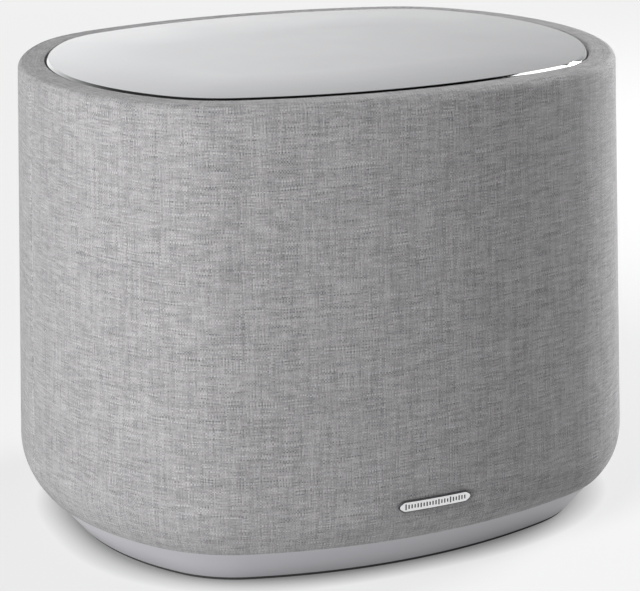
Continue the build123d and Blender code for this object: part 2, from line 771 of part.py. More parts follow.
def panel_gasket():
    gasket = back_block(PANEL_WIDTH, PANEL_HEIGHT, 6.0, SEAT_Y, PANEL_BACK)
    gasket -= back_block(98.0, 54.0, 6.0, SEAT_Y, PANEL_BACK)
    for x, z in PANEL_SCREWS:
        gasket -= back_plug(2.0, SEAT_Y, PANEL_BACK, x, z)
    return gasket


def rear_bezel():
    """Frame that lines the opening in the cloth; its rim follows the curve of the back."""
    opening = (BEZEL_WIDTH - 2 * BEZEL_WALL, BEZEL_HEIGHT - 2 * BEZEL_WALL, BEZEL_CORNER - BEZEL_WALL)
    tube = back_block(BEZEL_WIDTH, BEZEL_HEIGHT, BEZEL_CORNER, PANEL_Y, HALF_DEPTH)
    collar = back_block(BEZEL_WIDTH + 5, BEZEL_HEIGHT + 5, BEZEL_CORNER + 2, 110.0, HALF_DEPTH)
    wall_x, _ = wall_point(PANEL_Z, 0.0)
    lean = tan(radians(WALL_LEAN)) * 50.0
    inner = wedge_face(wall_x + 0.1, lean)
    outer = wedge_face(wall_x + 1.0, lean)
    frame = (tube & outer) + (collar & (outer - inner))
    return frame - back_block(*opening, 100.0, HALF_DEPTH + 5)


def wedge_face(offset, lean):
    """Solid inside the long rear arc, leaning as the wall does, 50 mm to each side of the panel."""
    centre_y = HALF_DEPTH - FRONT_RADIUS
    reach = FRONT_RADIUS + offset
    return Pos(0, centre_y, PANEL_Z) * Cone(reach + lean, reach - lean, 100.0)


def panel_screws():
    screws = []
    for x, z in PANEL_SCREWS:
        head = back_plug(3.4, PANEL_Y, PANEL_Y + 2.2, x, z)
        shank = back_plug(1.5, SEAT_Y - 9, PANEL_Y, x, z)
        plane = Plane(origin=(x, PANEL_Y + 0.9, z), x_dir=(1, 0, 0), z_dir=(0, 1, 0))
        screws.append(head + shank - extrude(plane * RegularPolygon(1.5, 6), 1.3))
    return group(screws)


INLET_FRONT = PANEL_Y + 1.2
INLET_FLOOR = INLET_FRONT - 14.0


def mains_inlet():
    inlet = back_block(24.0, 15.0, 5.0, INLET_FLOOR - 8, PANEL_Y, INLET_X)
    inlet += back_block(29.0, 20.0, 6.5, PANEL_Y, INLET_FRONT, INLET_X)
    inlet -= back_block(19.6, 10.6, 5.0, INLET_FLOOR, INLET_FRONT, INLET_X)
    for x in (INLET_X - 4.3, INLET_X + 4.3):
        inlet -= back_plug(1.2, INLET_FLOOR - 8, INLET_FLOOR, x, PANEL_Z)
    return inlet


def inlet_pins():
    pins = []
    for x in (INLET_X - 4.3, INLET_X + 4.3):
        pin = back_plug(1.2, INLET_FLOOR - 10, INLET_FRONT - 3.5, x, PANEL_Z)
        pins.append(pin)
    return group(pins)


def service_port():
    shell = back_block(9.0, 3.2, 1.4, PANEL_Y - 9, PANEL_Y - 0.2, PORT_X, PORT_Z)
    shell -= back_block(8.2, 2.4, 1.1, PANEL_Y - 8, PANEL_Y - 0.2, PORT_X, PORT_Z)
    return shell + block((PORT_X - 3, PORT_X + 3), (PANEL_Y - 8, PANEL_Y - 2), (PORT_Z - 0.35, PORT_Z + 0.35))


def button(radius, x):
    """A round push button with a wider flange behind the panel and a switch stem."""
    cap = back_plug(radius, PANEL_BACK - 0.3, PANEL_Y + 1.6, x, POWER_Z)
    cap = chamfer(cap.edges().sort_by(Axis.Y)[-1], 0.5)
    return cap + back_plug(radius + 1.5, PANEL_BACK - 1.5, PANEL_BACK - 0.3, x, POWER_Z)


def power_button():
    return button(6.0, POWER_X)


def pair_button():
    return button(4.0, PAIR_X)


def status_lens():
    return back_plug(1.6, PANEL_BACK - 4.5, PANEL_Y + 0.4, LENS_X, LENS_Z)


def button_board():
    face = PANEL_BACK - 6.0
    board = block((2, 46), (face - BOARD, face), (96, 130))
    for x in (POWER_X, PAIR_X):
        board += block((x - 3, x + 3), (face, face + 3.0), (POWER_Z - 3, POWER_Z + 3))
    board += block((LENS_X - 1.6, LENS_X + 1.6), (face, face + 1.2), (LENS_Z - 1.2, LENS_Z + 1.2))
    return board - block((PORT_X - 6, PORT_X + 6), (face - BOARD, face), (96, PORT_Z + 2.5))


PARTS = [
    top_plate, plate_adhesive, top_frame, top_screws,
    fabric_front, fabric_rear, grille_front, grille_rear,
    badge_plate, badge_tray, badge_nuts,
    base_skirt, base_plate, foot_ring, skirt_screws, support_pillars, pillar_screws,
    enclosure_tub, lid_gasket, enclosure_lid, lid_screws, braces, damping_pads,
    driver_basket, driver_gasket, driver_screws, terminal_strip, tinsel_leads,
    surround, spider, cone, dust_cap, coil_former, voice_coil,
    front_pole_plate, magnet_ring, back_pole_plate,
    amplifier_board, power_board, wireless_module, heat_sink, inductors, capacitors, transformer,
    board_standoffs, board_screws, lead_grommets, mains_lead, driver_lead,
    connection_panel, panel_gasket, rear_bezel, panel_screws, mains_inlet, inlet_pins,
    service_port, status_lens, button_board, power_button, pair_button,
]

os.makedirs("parts", exist_ok=True)
for make in PARTS:
    export_step(make(), f"parts/{make.__name__}.step")
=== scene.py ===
"""A cloth-covered smart speaker: its looks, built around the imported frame.

Sizes are in metres, in the frame's own axes: +Z is up, the front faces -Y and +X is to
the right of somebody who looks at the front.
"""

from __future__ import annotations

import logging
import math
from dataclasses import dataclass, field
from enum import Enum
from typing import Callable, Iterator, Sequence

import bpy
import numpy as np
from mathutils import Matrix, Vector

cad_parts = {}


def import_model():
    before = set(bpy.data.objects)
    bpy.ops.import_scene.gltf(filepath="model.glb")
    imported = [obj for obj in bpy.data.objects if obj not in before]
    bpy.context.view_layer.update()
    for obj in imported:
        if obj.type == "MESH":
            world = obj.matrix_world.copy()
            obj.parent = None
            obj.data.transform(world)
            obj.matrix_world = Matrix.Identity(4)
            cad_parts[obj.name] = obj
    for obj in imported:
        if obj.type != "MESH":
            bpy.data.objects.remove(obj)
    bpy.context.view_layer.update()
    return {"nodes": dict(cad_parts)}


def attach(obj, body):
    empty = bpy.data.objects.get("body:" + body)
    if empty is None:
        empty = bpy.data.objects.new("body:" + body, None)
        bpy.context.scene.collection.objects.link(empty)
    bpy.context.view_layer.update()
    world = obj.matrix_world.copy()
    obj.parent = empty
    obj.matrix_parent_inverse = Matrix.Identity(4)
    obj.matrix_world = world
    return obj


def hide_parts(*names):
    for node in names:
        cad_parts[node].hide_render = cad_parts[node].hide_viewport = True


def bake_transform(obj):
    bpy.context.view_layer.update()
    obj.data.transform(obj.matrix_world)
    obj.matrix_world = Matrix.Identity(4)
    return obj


LOG = logging.getLogger("speaker")
MM = 0.001
WELD = 0.000004  # points closer than this are one point

Rgb = tuple[float, float, float]
Point2 = tuple[float, float]
Point3 = tuple[float, float, float]
Socket = bpy.types.NodeSocket


class Body(Enum):
    """The bodies of the frame that pieces ride on."""

    CABINET = "cabinet"
    CONE = "cone_assembly"
    POWER = "power_button_body"
    PAIR = "pair_button_body"


class Side(Enum):
    """The two halves of the cloth cover."""

    REAR = 0
    FRONT = 1


# ---- materials -----------------------------------------------------------------------------------


class Tree:
    """The node tree of one material, with short calls for the nodes that the finishes use."""

    def __init__(self, name: str) -> None:
        """Starts a material with one plain shader.

        Args:
            name: The material's name.
        """
        self.material = bpy.data.materials.new(name)
        self.material.use_nodes = True
        self.nodes = self.material.node_tree.nodes
        self.links = self.material.node_tree.links
        self.shader = self.nodes["Principled BSDF"]

    def feed(self, socket: Socket, value: object) -> None:
        """Links a socket to another, or sets its value."""
        if isinstance(value, Socket):
            self.links.new(value, socket)
        else:
            socket.default_value = value

    def place(self) -> Socket:
        """Object coordinates, in metres."""
        return self.nodes.new("ShaderNodeTexCoord").outputs["Object"]

    def cloth_place(self) -> Socket:
        """The piece's own UV map, in metres of cloth."""
        node = self.nodes.new("ShaderNodeUVMap")
        node.uv_map = "UVMap"
        return node.outputs["UV"]

    def math(self, kind: str, a: object, b: object = 0.0, clamp: bool = False) -> Socket:
        """One arithmetic step.

        Args:
            kind: The operation's name.
            a: The first value or socket.
            b: The second value or socket.
            clamp: Keeps the result between 0 and 1.

        Returns:
            The result's socket.
        """
        node = self.nodes.new("ShaderNodeMath")
        node.operation = kind
        node.use_clamp = clamp
        self.feed(node.inputs[0], a)
        self.feed(node.inputs[1], b)
        return node.outputs[0]

    def weighted(self, a: Socket, a_share: float, b: Socket, b_share: float, clamp: bool = False) -> Socket:
        """Adds two values, each times its share."""
        shared = self.math("MULTIPLY", a, a_share), self.math("MULTIPLY", b, b_share)
        return self.math("ADD", *shared, clamp=clamp)

    def rib(self, count: Socket) -> Socket:
        """A round rib, from 0 to 1 and back, for each whole step of a count."""
        return self.math("ABSOLUTE", self.math("SINE", self.math("MULTIPLY", count, math.pi)))

    def ramp(self, value: object, low: object, high: object, start: float = 0.0, end: float = 1.0) -> Socket:
        """Maps a value between start and end to low and high, and holds it there outside them."""
        node = self.nodes.new("ShaderNodeMapRange")
        self.feed(node.inputs["Value"], value)
        node.inputs["From Min"].default_value = start
        node.inputs["From Max"].default_value = end
        self.feed(node.inputs["To Min"], low)
        self.feed(node.inputs["To Max"], high)
        return node.outputs["Result"]

    def mix(self, amount: object, a: object, b: object) -> Socket:
        """Mixes two colours, given as colours or sockets."""
        node = self.nodes.new("ShaderNodeMix")
        node.data_type = "RGBA"
        self.feed(node.inputs[0], amount)
        self.feed(node.inputs[6], a if isinstance(a, Socket) else (*a, 1.0))
        self.feed(node.inputs[7], b if isinstance(b, Socket) else (*b, 1.0))
        return node.outputs[2]

    def split(self, vector: Socket) -> tuple[Socket, Socket, Socket]:
        """The three parts of a vector."""
        node = self.nodes.new("ShaderNodeSeparateXYZ")
        self.feed(node.inputs[0], vector)
        return node.outputs[0], node.outputs[1], node.outputs[2]

    def join(self, x: object, y: object, z: object = 0.0) -> Socket:
        """A vector from three parts."""
        node = self.nodes.new("ShaderNodeCombineXYZ")
        for socket, value in zip(node.inputs, (x, y, z)):
            self.feed(socket, value)
        return node.outputs[0]

    def stretched(self, vector: Socket, scale: Point3, shift: Point3 = (0.0, 0.0, 0.0)) -> Socket:
        """A vector scaled and moved, to draw a pattern out or centre it."""
        node = self.nodes.new("ShaderNodeMapping")
        node.inputs["Location"].default_value = shift
        node.inputs["Scale"].default_value = scale
        self.feed(node.inputs["Vector"], vector)
        return node.outputs[0]

    def noise(self, vector: Socket, scale: float, detail: float = 2.0, roughness: float = 0.5) -> Socket:
        """Soft noise.

        Args:
            vector: Where it is read.
            scale: Features per metre.
            detail: Finer layers.
            roughness: How strong the finer layers are.

        Returns:
            A value round 0.5.
        """
        node = self.nodes.new("ShaderNodeTexNoise")
        node.inputs["Scale"].default_value = scale
        node.inputs["Detail"].default_value = detail
        node.inputs["Roughness"].default_value = roughness
        self.feed(node.inputs["Vector"], vector)
        return node.outputs[0]

    def cells(self, vector: Socket, scale: float) -> Socket:
        """Cell pattern: the distance to a cell's middle."""
        node = self.nodes.new("ShaderNodeTexVoronoi")
        node.feature = "F1"
        node.inputs["Scale"].default_value = scale
        self.feed(node.inputs["Vector"], vector)
        return node.outputs["Distance"]

    def chance(self, value: Socket) -> Socket:
        """A fixed random number from 0 to 1 for each value."""
        node = self.nodes.new("ShaderNodeTexWhiteNoise")
        node.noise_dimensions = "1D"
        self.feed(node.inputs["W"], value)
        return node.outputs["Value"]

    def bump(self, height: Socket, depth: float, strength: float = 1.0) -> None:
        """Raises the shader's surface by a height pattern of a depth in metres."""
        node = self.nodes.new("ShaderNodeBump")
        node.inputs["Strength"].default_value = strength
        node.inputs["Distance"].default_value = depth
        self.feed(node.inputs["Height"], height)
        self.links.new(node.outputs[0], self.shader.inputs["Normal"])


@dataclass(frozen=True)
class Finish:
    """A surface finish whose colour, gloss and relief vary in soft patches.

    Attributes:
        name: The finish's name.
        base: Its main colour.
        tint: The colour of its patches.
        gloss: Lowest and highest roughness.
        grain: Patches per metre.
        stretch: How much closer the patches stand along each axis.
        relief: Depth of its bumps.
        metallic: 1 for metal.
        coat: Strength of a clear coat.
        sheen: Strength of the fuzz on soft materials.
    """

    name: str
    base: Rgb
    tint: Rgb
    gloss: Point2 = (0.4, 0.55)
    grain: float = 900.0
    stretch: Point3 = (1.0, 1.0, 1.0)
    relief: float = 0.00004
    metallic: float = 0.0
    coat: float = 0.0
    sheen: float = 0.0

    def pattern(self, tree: Tree) -> Socket:
        """The pattern that drives colour, gloss and relief, from 0 to 1."""
        fine = tree.noise(tree.stretched(tree.place(), self.stretch), self.grain, 4.0, 0.6)
        broad = tree.noise(tree.place(), self.grain / 20, 3.0)
        return tree.ramp(tree.weighted(fine, 0.7, broad, 0.3), 0.0, 1.0, 0.32, 0.68)

    def material(self) -> bpy.types.Material:
        """Builds the finish.

        Returns:
            The material, ready to assign.
        """
        tree = Tree(self.name)
        shader = tree.shader
        shader.inputs["Metallic"].default_value = self.metallic
        shader.inputs["Coat Weight"].default_value = self.coat
        shader.inputs["Coat Roughness"].default_value = 0.04
        shader.inputs["Sheen Weight"].default_value = self.sheen
        shader.inputs["Sheen Roughness"].default_value = 0.5
        self.dress(tree)
        return tree.material

    def dress(self, tree: Tree) -> None:
        """Links the pattern to colour, roughness and bump."""
        amount = self.pattern(tree)
        tree.feed(tree.shader.inputs["Base Color"], tree.mix(amount, self.base, self.tint))
        tree.feed(tree.shader.inputs["Roughness"], tree.ramp(amount, *self.gloss))
        tree.bump(amount, self.relief)


@dataclass(frozen=True)
class Moulded(Finish):
    """Spark-eroded plastic: small rounded pits all over, with slightly polished high places."""

    def pattern(self, tree: Tree) -> Socket:
        """Pits, broken up by noise."""
        pits = tree.cells(tree.stretched(tree.place(), self.stretch), self.grain)
        broad = tree.noise(tree.place(), self.grain / 30, 3.0)
        return tree.weighted(pits, 0.8, broad, 0.35, clamp=True)


@dataclass(frozen=True)
class Lacquered(Finish):
    """Gloss lacquer with metallic flakes under it and the faint ripple of a sprayed coat."""

    flake: float = 9000.0

    def dress(self, tree: Tree) -> None:
        """Flakes change the colour a little, and a slow ripple bends the reflections."""
        flakes = tree.cells(tree.place(), self.flake)
        cloud = tree.noise(tree.place(), 26.0, 2.0)
        amount = tree.weighted(flakes, 0.6, cloud, 0.4, clamp=True)
        tree.feed(tree.shader.inputs["Base Color"], tree.mix(amount, self.base, self.tint))
        tree.feed(tree.shader.inputs["Roughness"], tree.ramp(cloud, *self.gloss, 0.3, 0.7))
        tree.bump(tree.noise(tree.place(), self.grain, 2.0), self.relief, 0.25)


@dataclass(frozen=True)
class Woven(Finish):
    """Plain woven cloth of mixed light and dark fibres, read from the cloth's own UV map.

    Attributes:
        thread: Distance between threads.
        waver: How far a thread wanders to each side, in threads.
        light: Colour of the lightest fibres.
        weft_slubs: Thick places per metre of the threads that run across, and how far their shade varies.
        warp_slubs: The same for the threads that run along.
        middle_shade: The shade of a plain thread, from 0, dark, to 1, light.
    """

    thread: float = 0.00078
    waver: float = 0.7
    light: Rgb = (0.375, 0.371, 0.371)
    weft_slubs: Point2 = (70.0, 0.40)
    warp_slubs: Point2 = (34.0, 0.27)
    middle_shade: float = 0.40

    def dress(self, tree: Tree) -> None:
        """Each thread has its own shade and thick places, and goes over and under the others."""
        across, along, _ = tree.split(tree.cloth_place())
        warp = self.threads(tree, across, (1.0, 0.35, 1.0))
        weft = self.threads(tree, along, (0.35, 1.0, 1.0), (7.0, 3.0, 0.0))
        warp_id, weft_id = tree.math("FLOOR", warp), tree.math("FLOOR", weft)
        over = tree.math("ABSOLUTE", tree.math("MODULO", tree.math("ADD", warp_id, weft_id), 2.0))
        lower = self.fibre(tree, weft_id, across, *self.weft_slubs)
        upper = self.fibre(tree, warp_id, along, *self.warp_slubs)
        shade = tree.mix(over, lower, upper)
        shade = tree.split(shade)[0]
        cloud = tree.noise(tree.stretched(tree.cloth_place(), (1.0, 2.2, 1.0)), 75.0, 3.0, 0.6)
        shade = tree.math("ADD", shade, tree.ramp(cloud, -0.05, 0.05, 0.3, 0.7), clamp=True)
        warm = tree.noise(tree.stretched(tree.cloth_place(), (1.0, 6.0, 1.0)), 130.0, 2.0)
        dark = tree.mix(tree.ramp(warm, 0.0, 1.0, 0.4, 0.6), self.base, self.tint)
        tree.feed(tree.shader.inputs["Base Color"], tree.mix(shade, dark, self.light))
        tree.feed(tree.shader.inputs["Roughness"], tree.ramp(shade, *self.gloss))
        round_warp, round_weft = tree.rib(warp), tree.rib(weft)
        top = tree.math("MULTIPLY", over, tree.math("MULTIPLY", round_warp, tree.ramp(round_weft, 0.45, 1.0)))
        side = tree.math("SUBTRACT", 1.0, over)
        low = tree.math("MULTIPLY", side, tree.math("MULTIPLY", round_weft, tree.ramp(round_warp, 0.45, 1.0)))
        height = tree.math("ADD", tree.math("ADD", top, low), tree.math("MULTIPLY", shade, 0.35))
        tree.bump(height, self.relief, 0.75)

    def threads(
        self, tree: Tree, distance: Socket, stretch: Point3, shift: Point3 = (0.0, 0.0, 0.0),
    ) -> Socket:
        """Counts the threads up to a distance across them, with their wander.

        Args:
            tree: The material.
            distance: The distance across the threads, in metres.
            stretch: How the wander is drawn out.
            shift: Where the wander is read.

        Returns:
            The count, with its fraction the place on the thread.
        """
        wander = tree.noise(tree.stretched(tree.cloth_place(), stretch, shift), 190.0, 1.0)
        wander = tree.ramp(wander, -self.waver, self.waver, 0.25, 0.75)
        return tree.math("ADD", tree.math("DIVIDE", distance, self.thread), wander)

    def fibre(self, tree: Tree, thread: Socket, along: Socket, thick_places: float, spread: float) -> Socket:
        """Shade along one set of threads.

        Args:
            tree: The material.
            thread: The thread's number.
            along: Distance along the thread.
            thick_places: Thick places per metre.
            spread: How much the shade varies.

        Returns:
            A value from about 0, dark, to 1, light.
        """
        number = tree.math("MULTIPLY", tree.chance(thread), 37.0)
        line = tree.join(tree.math("MULTIPLY", along, thick_places), number)
        slub = tree.noise(line, 1.0, 2.0, 0.65)
        fleck = tree.noise(tree.join(tree.math("MULTIPLY", along, 620.0), number), 1.0, 1.0)
        whole = tree.weighted(slub, 0.72, fleck, 0.28)
        return tree.ramp(whole, self.middle_shade - spread, self.middle_shade + spread, 0.36, 0.64)


@dataclass(frozen=True)
class Wound(Finish):
    """Copper wire in turns, or another finish ribbed along Z, with painted shade in the grooves between turns
    and a painted highlight along each turn.
    """

    turn: float = 0.0006

    def pattern(self, tree: Tree) -> Socket:
        """Round ribs, which paint shade in the grooves between turns and a highlight on each turn, with tone
        changes from wire to wire.
        """
        height = tree.math("DIVIDE", tree.split(tree.place())[2], self.turn)
        shade = tree.ramp(tree.noise(tree.place(), self.grain, 2.0), 0.7, 1.0)
        # painted shade and highlight: the colour runs from the dark base in each groove to the bright tint on
        # each turn's crest
        return tree.math("MULTIPLY", tree.rib(height), shade)


@dataclass(frozen=True)
class Tracked(Finish):
    """A printed board: copper tracks under green resist, with small pads."""

    def pattern(self, tree: Tree) -> Socket:
        """Level steps of two crossed noises, which read as tracks."""
        place = tree.place()
        lines = tree.noise(tree.stretched(place, (1.0, 6.0, 1.0)), 60.0, 0.0)
        rows = tree.math("PINGPONG", tree.math("MULTIPLY", lines, 24.0), 1.0)
        pads = tree.cells(place, 160.0)
        tracks = tree.math("GREATER_THAN", rows, 0.55)
        dots = tree.math("LESS_THAN", pads, 0.16)
        return tree.math("MAXIMUM", tree.math("MULTIPLY", tracks, 0.7), dots)


class Palette:
    """Every finish of the speaker, built when it is first asked for."""

    FINISHES: dict[str, Finish] = {
        finish.name: finish
        for finish in (
            Woven("cover_cloth", (0.112, 0.109, 0.111), (0.094, 0.092, 0.101), (0.85, 0.95),
                relief=0.0002, sheen=0.08),
            Lacquered("plate_lacquer", (0.46, 0.465, 0.48), (0.50, 0.505, 0.52), (0.15, 0.19),
                240.0, relief=0.00001, metallic=0.75, coat=0.2),
            Finish("polished_edge", (0.50, 0.505, 0.51), (0.54, 0.545, 0.55), (0.05, 0.09),
                1200.0, relief=0.000002, metallic=1.0),
            Lacquered("base_grey", (0.29, 0.285, 0.305), (0.33, 0.325, 0.345), (0.34, 0.42),
                1500.0, relief=0.00002, coat=0.2),
            Moulded("black_plastic", (0.022, 0.022, 0.024), (0.045, 0.045, 0.048), (0.42, 0.62),
                1600.0, relief=0.00005),
            Moulded("dark_rubber", (0.018, 0.018, 0.019), (0.032, 0.031, 0.031), (0.7, 0.85),
                1100.0, relief=0.00004),
            Finish("badge_metal", (0.74, 0.74, 0.75), (0.80, 0.80, 0.80), (0.14, 0.26),
                1400, (1, 1, 14), 0.000006, 1.0),
            Finish("badge_ink", (0.020, 0.020, 0.022), (0.05, 0.05, 0.052), (0.3, 0.45),
                3000.0, relief=0.00001),
            Finish("badge_edge", (0.06, 0.06, 0.063), (0.10, 0.10, 0.105), (0.25, 0.4),
                2500.0, relief=0.00001, metallic=0.6),
            Finish("seam_thread", (0.33, 0.33, 0.33), (0.25, 0.25, 0.25), (0.8, 0.92),
                4000.0, relief=0.00006, sheen=0.3),
            Finish("zinc_steel", (0.55, 0.56, 0.57), (0.42, 0.43, 0.45), (0.22, 0.42),
                1800.0, relief=0.00001, metallic=1.0),
            Finish("black_steel", (0.035, 0.035, 0.037), (0.06, 0.06, 0.062), (0.35, 0.5),
                2200.0, relief=0.00002, metallic=0.7),
            Moulded("cast_basket", (0.10, 0.10, 0.105), (0.17, 0.17, 0.175), (0.45, 0.65),
                1300.0, relief=0.00006, metallic=0.5),
            Finish("ferrite", (0.035, 0.034, 0.036), (0.075, 0.072, 0.07), (0.6, 0.8),
                1700.0, relief=0.00004),
            Finish("cone_paper", (0.035, 0.034, 0.033), (0.085, 0.082, 0.078), (0.75, 0.9),
                1200, (1, 1, 3), 0.00008, sheen=0.1),
            # base is the painted shade between the turns, tint the painted highlight on them
            Wound("coil_copper", (0.42, 0.16, 0.07), (0.80, 0.36, 0.17), (0.22, 0.4),
                relief=0.0001, metallic=1.0),
            Woven("spider_cloth", (0.30, 0.20, 0.08), (0.24, 0.15, 0.06), (0.8, 0.9),
                relief=0.0001, light=(0.58, 0.44, 0.22)),
            Finish("wadding", (0.62, 0.62, 0.60), (0.80, 0.80, 0.78), (0.9, 1.0), 420, (1, 3, 1),
                0.0006, sheen=0.4),
            Tracked("circuit_board", (0.012, 0.085, 0.040), (0.030, 0.19, 0.085), (0.28, 0.4),
                relief=0.00006, coat=0.4),
            Finish("heat_sink_metal", (0.50, 0.51, 0.52), (0.62, 0.63, 0.64), (0.3, 0.45),
                900, (1, 1, 0.04), 0.00002, 0.95),
            # base is the painted shade between the turns, tint the painted highlight on them
            Wound("winding", (0.30, 0.10, 0.03), (0.62, 0.24, 0.08), (0.2, 0.35),
                turn=0.0009, relief=0.00015, coat=0.5),
            Finish("contact_brass", (0.72, 0.50, 0.20), (0.82, 0.62, 0.30), (0.18, 0.32),
                2000.0, relief=0.00001, metallic=1.0),
            Finish("lead_jacket", (0.05, 0.05, 0.052), (0.09, 0.09, 0.092), (0.45, 0.6),
                1500.0, relief=0.00003),
            Finish("lens_clear", (0.78, 0.80, 0.80), (0.90, 0.92, 0.92), (0.12, 0.2),
                1500.0, relief=0.00001, coat=0.8),
            Finish("symbol_paint", (0.60, 0.60, 0.60), (0.75, 0.75, 0.75), (0.5, 0.6),
                4000.0, relief=0.00001),
            Moulded("matt_gasket", (0.03, 0.03, 0.031), (0.06, 0.06, 0.06), (0.85, 0.95),
                2600.0, relief=0.0001),
        )
    }

    def __init__(self) -> None:
        """Starts with nothing built."""
        self.built: dict[str, bpy.types.Material] = {}

    def get(self, name: str) -> bpy.types.Material:
        """The material of a finish.

        Args:
            name: The finish's name.

        Returns:
            The material, the same one for every piece that asks.
        """
        if name not in self.built:
            self.built[name] = self.FINISHES[name].material()
        return self.built[name]


# ---- outlines and sections -----------------------------------------------------------------------


@dataclass(frozen=True)
class Arc:
    """One rounded stretch of an outline, turning left.

    Attributes:
        centre: Its centre.
        radius: Its radius.
        start: Angle of its first point, in radians.
        size: How far it turns, in radians.
    """

    centre: Point2
    radius: float
    start: float
    size: float

    def point(self, share: float, inset: float) -> Point2:
        """A point a share of the way along, drawn in by an inset."""
        angle = self.start + self.size * share
        reach = self.radius - inset
        return self.centre[0] + reach * math.cos(angle), self.centre[1] + reach * math.sin(angle)


@dataclass(frozen=True)
class Outline:
    """A closed convex outline of arcs, joined by straight runs where they don't touch."""

    arcs: tuple[Arc, ...]

    @staticmethod
    def rounded_bar(width: float, height: float, corner: float) -> Outline:
        """An upright rectangle with rounded corners, about the origin."""
        x, y, quarter = width / 2 - corner, height / 2 - corner, math.pi / 2
        places = ((x, y, 0.0), (-x, y, quarter), (-x, -y, 2 * quarter), (x, -y, 3 * quarter))
        return Outline(tuple(Arc((a, b), corner, start, quarter) for a, b, start in places))

    @staticmethod
    def pointed_bar(width: float, height: float, taper: float, corner: float) -> Outline:
        """A bar whose ends come to rounded points, about the origin."""
        slope = math.atan2(height / 2, taper)
        tip = width / 2 - corner
        knee = tip - (height / 2 - corner) * taper / (height / 2)
        turn = math.pi / 2 - slope
        arcs = (
            Arc((tip, 0.0), corner, -turn, 2 * turn),
            Arc((knee, height / 2 - corner), corner, turn, slope),
            Arc((-knee, height / 2 - corner), corner, math.pi / 2, slope),
            Arc((-tip, 0.0), corner, math.pi - turn, 2 * turn),
            Arc((-knee, corner - height / 2), corner, math.pi + turn, slope),
            Arc((knee, corner - height / 2), corner, 1.5 * math.pi, slope),
        )
        return Outline(arcs)


@dataclass(frozen=True)
class Cabinet:
    """The cabinet's plan and the section of its cover, which the pieces of the outside share."""

    half_width: float = 170.0
    half_depth: float = 142.4
    front_radius: float = 302.0
    corner_radius: float = 87.0
    end_radius: float = 161.0
    wall_lean: float = 2.38
    widest_z: float = 36.8
    shoulder_z: float = 46.0
    shoulder_radius: float = 34.8
    hem_z: float = 22.3
    rim_z: float = 253.4
    rim_radius: float = 4.0
    lip_inset: float = 23.4
    lip_radius: float = 1.5

    def plan(self) -> Outline:
        """The plan from +X round the back to -X and round the front, in millimetres."""
        end_x, front_y = self.half_width - self.end_radius, self.half_depth - self.front_radius
        span = math.hypot(end_x, front_y)
        to_end, to_front = self.end_radius - self.corner_radius, self.front_radius - self.corner_radius
        along = (to_end**2 - to_front**2 + span**2) / (2 * span)
        across = math.sqrt(to_end**2 - along**2)
        ux, uy = -end_x / span, front_y / span
        cx, cy = end_x + along * ux - across * uy, along * uy + across * ux
        end = math.atan2(cy, cx - end_x)
        front = math.atan2(cy - front_y, cx)
        rear = (
            Arc((end_x, 0.0), self.end_radius, 0.0, end),
            Arc((cx, cy), self.corner_radius, end, front - end),
            Arc((0.0, front_y), self.front_radius, front, math.pi - 2 * front),
            Arc((-cx, cy), self.corner_radius, math.pi - front, front - end),
            Arc((-end_x, 0.0), self.end_radius, math.pi - end, end),
        )
        turned = tuple(Arc((-a.centre[0], -a.centre[1]), a.radius, a.start + math.pi, a.size) for a in rear)
        return Outline(rear + turned)

    def wall_inset(self, z: float) -> float:
        """Inset of the leaning wall's outside at a height."""
        return math.tan(math.radians(self.wall_lean)) * (z - self.widest_z)

    def shoulder_centre(self) -> Point2:
        """Centre of the curve that draws the wall in above the base, as (inset, height)."""
        lean = math.radians(self.wall_lean)
        inset = self.wall_inset(self.shoulder_z) + self.shoulder_radius * math.cos(lean)
        return inset, self.shoulder_z - self.shoulder_radius * math.sin(lean)

    def rim_centre(self) -> Point2:
        """Centre of the curve at the top of the wall, as (inset, height)."""
        lean = math.radians(self.wall_lean)
        z = self.rim_z - self.rim_radius
        inset = self.wall_inset(z + self.rim_radius * math.sin(lean)) + self.rim_radius * math.cos(lean)
        return inset, z

    def cover_section(self) -> list[Point2]:
        """The cloth's outside from the fold under the grille, up the wall and down the lip.

        Returns:
            (inset, height) points, closer together where the cloth turns.
        """
        lean = math.radians(self.wall_lean)
        (sx, sz), (rx, rz) = self.shoulder_centre(), self.rim_centre()
        hem = math.asin((sz - self.hem_z) / self.shoulder_radius)
        shoulder, wall, rim, lip = 26, 88, 9, 6  # steps in each stretch
        points: list[Point2] = [(10.9, 24.1), (10.1, 23.4), (9.3, 22.75), (8.8, 22.4), (8.5, 22.3)]
        for i in range(shoulder + 1):
            turn = -hem + (hem + lean) * i / shoulder
            reach = self.shoulder_radius
            points.append((sx - reach * math.cos(turn), sz + reach * math.sin(turn)))
        top = rz + self.rim_radius * math.sin(lean)
        for i in range(1, wall):
            z = self.shoulder_z + (top - self.shoulder_z) * i / wall
            points.append((self.wall_inset(z), z))
        for i in range(rim + 1):
            turn = lean + (math.pi / 2 - lean) * i / rim
            points.append((rx - self.rim_radius * math.cos(turn), rz + self.rim_radius * math.sin(turn)))
        lip_x = self.lip_inset - self.lip_radius
        points += [(rx + (lip_x - rx) * i / lip, self.rim_z) for i in range(1, lip)]
        for i in range(lip + 1):
            turn = math.pi / 2 * i / lip
            drop = self.lip_radius * (1 - math.cos(turn))
            points.append((lip_x + self.lip_radius * math.sin(turn), self.rim_z - drop))
        return points + [(self.lip_inset, 251.2), (self.lip_inset, 250.4)]


CABINET = Cabinet()


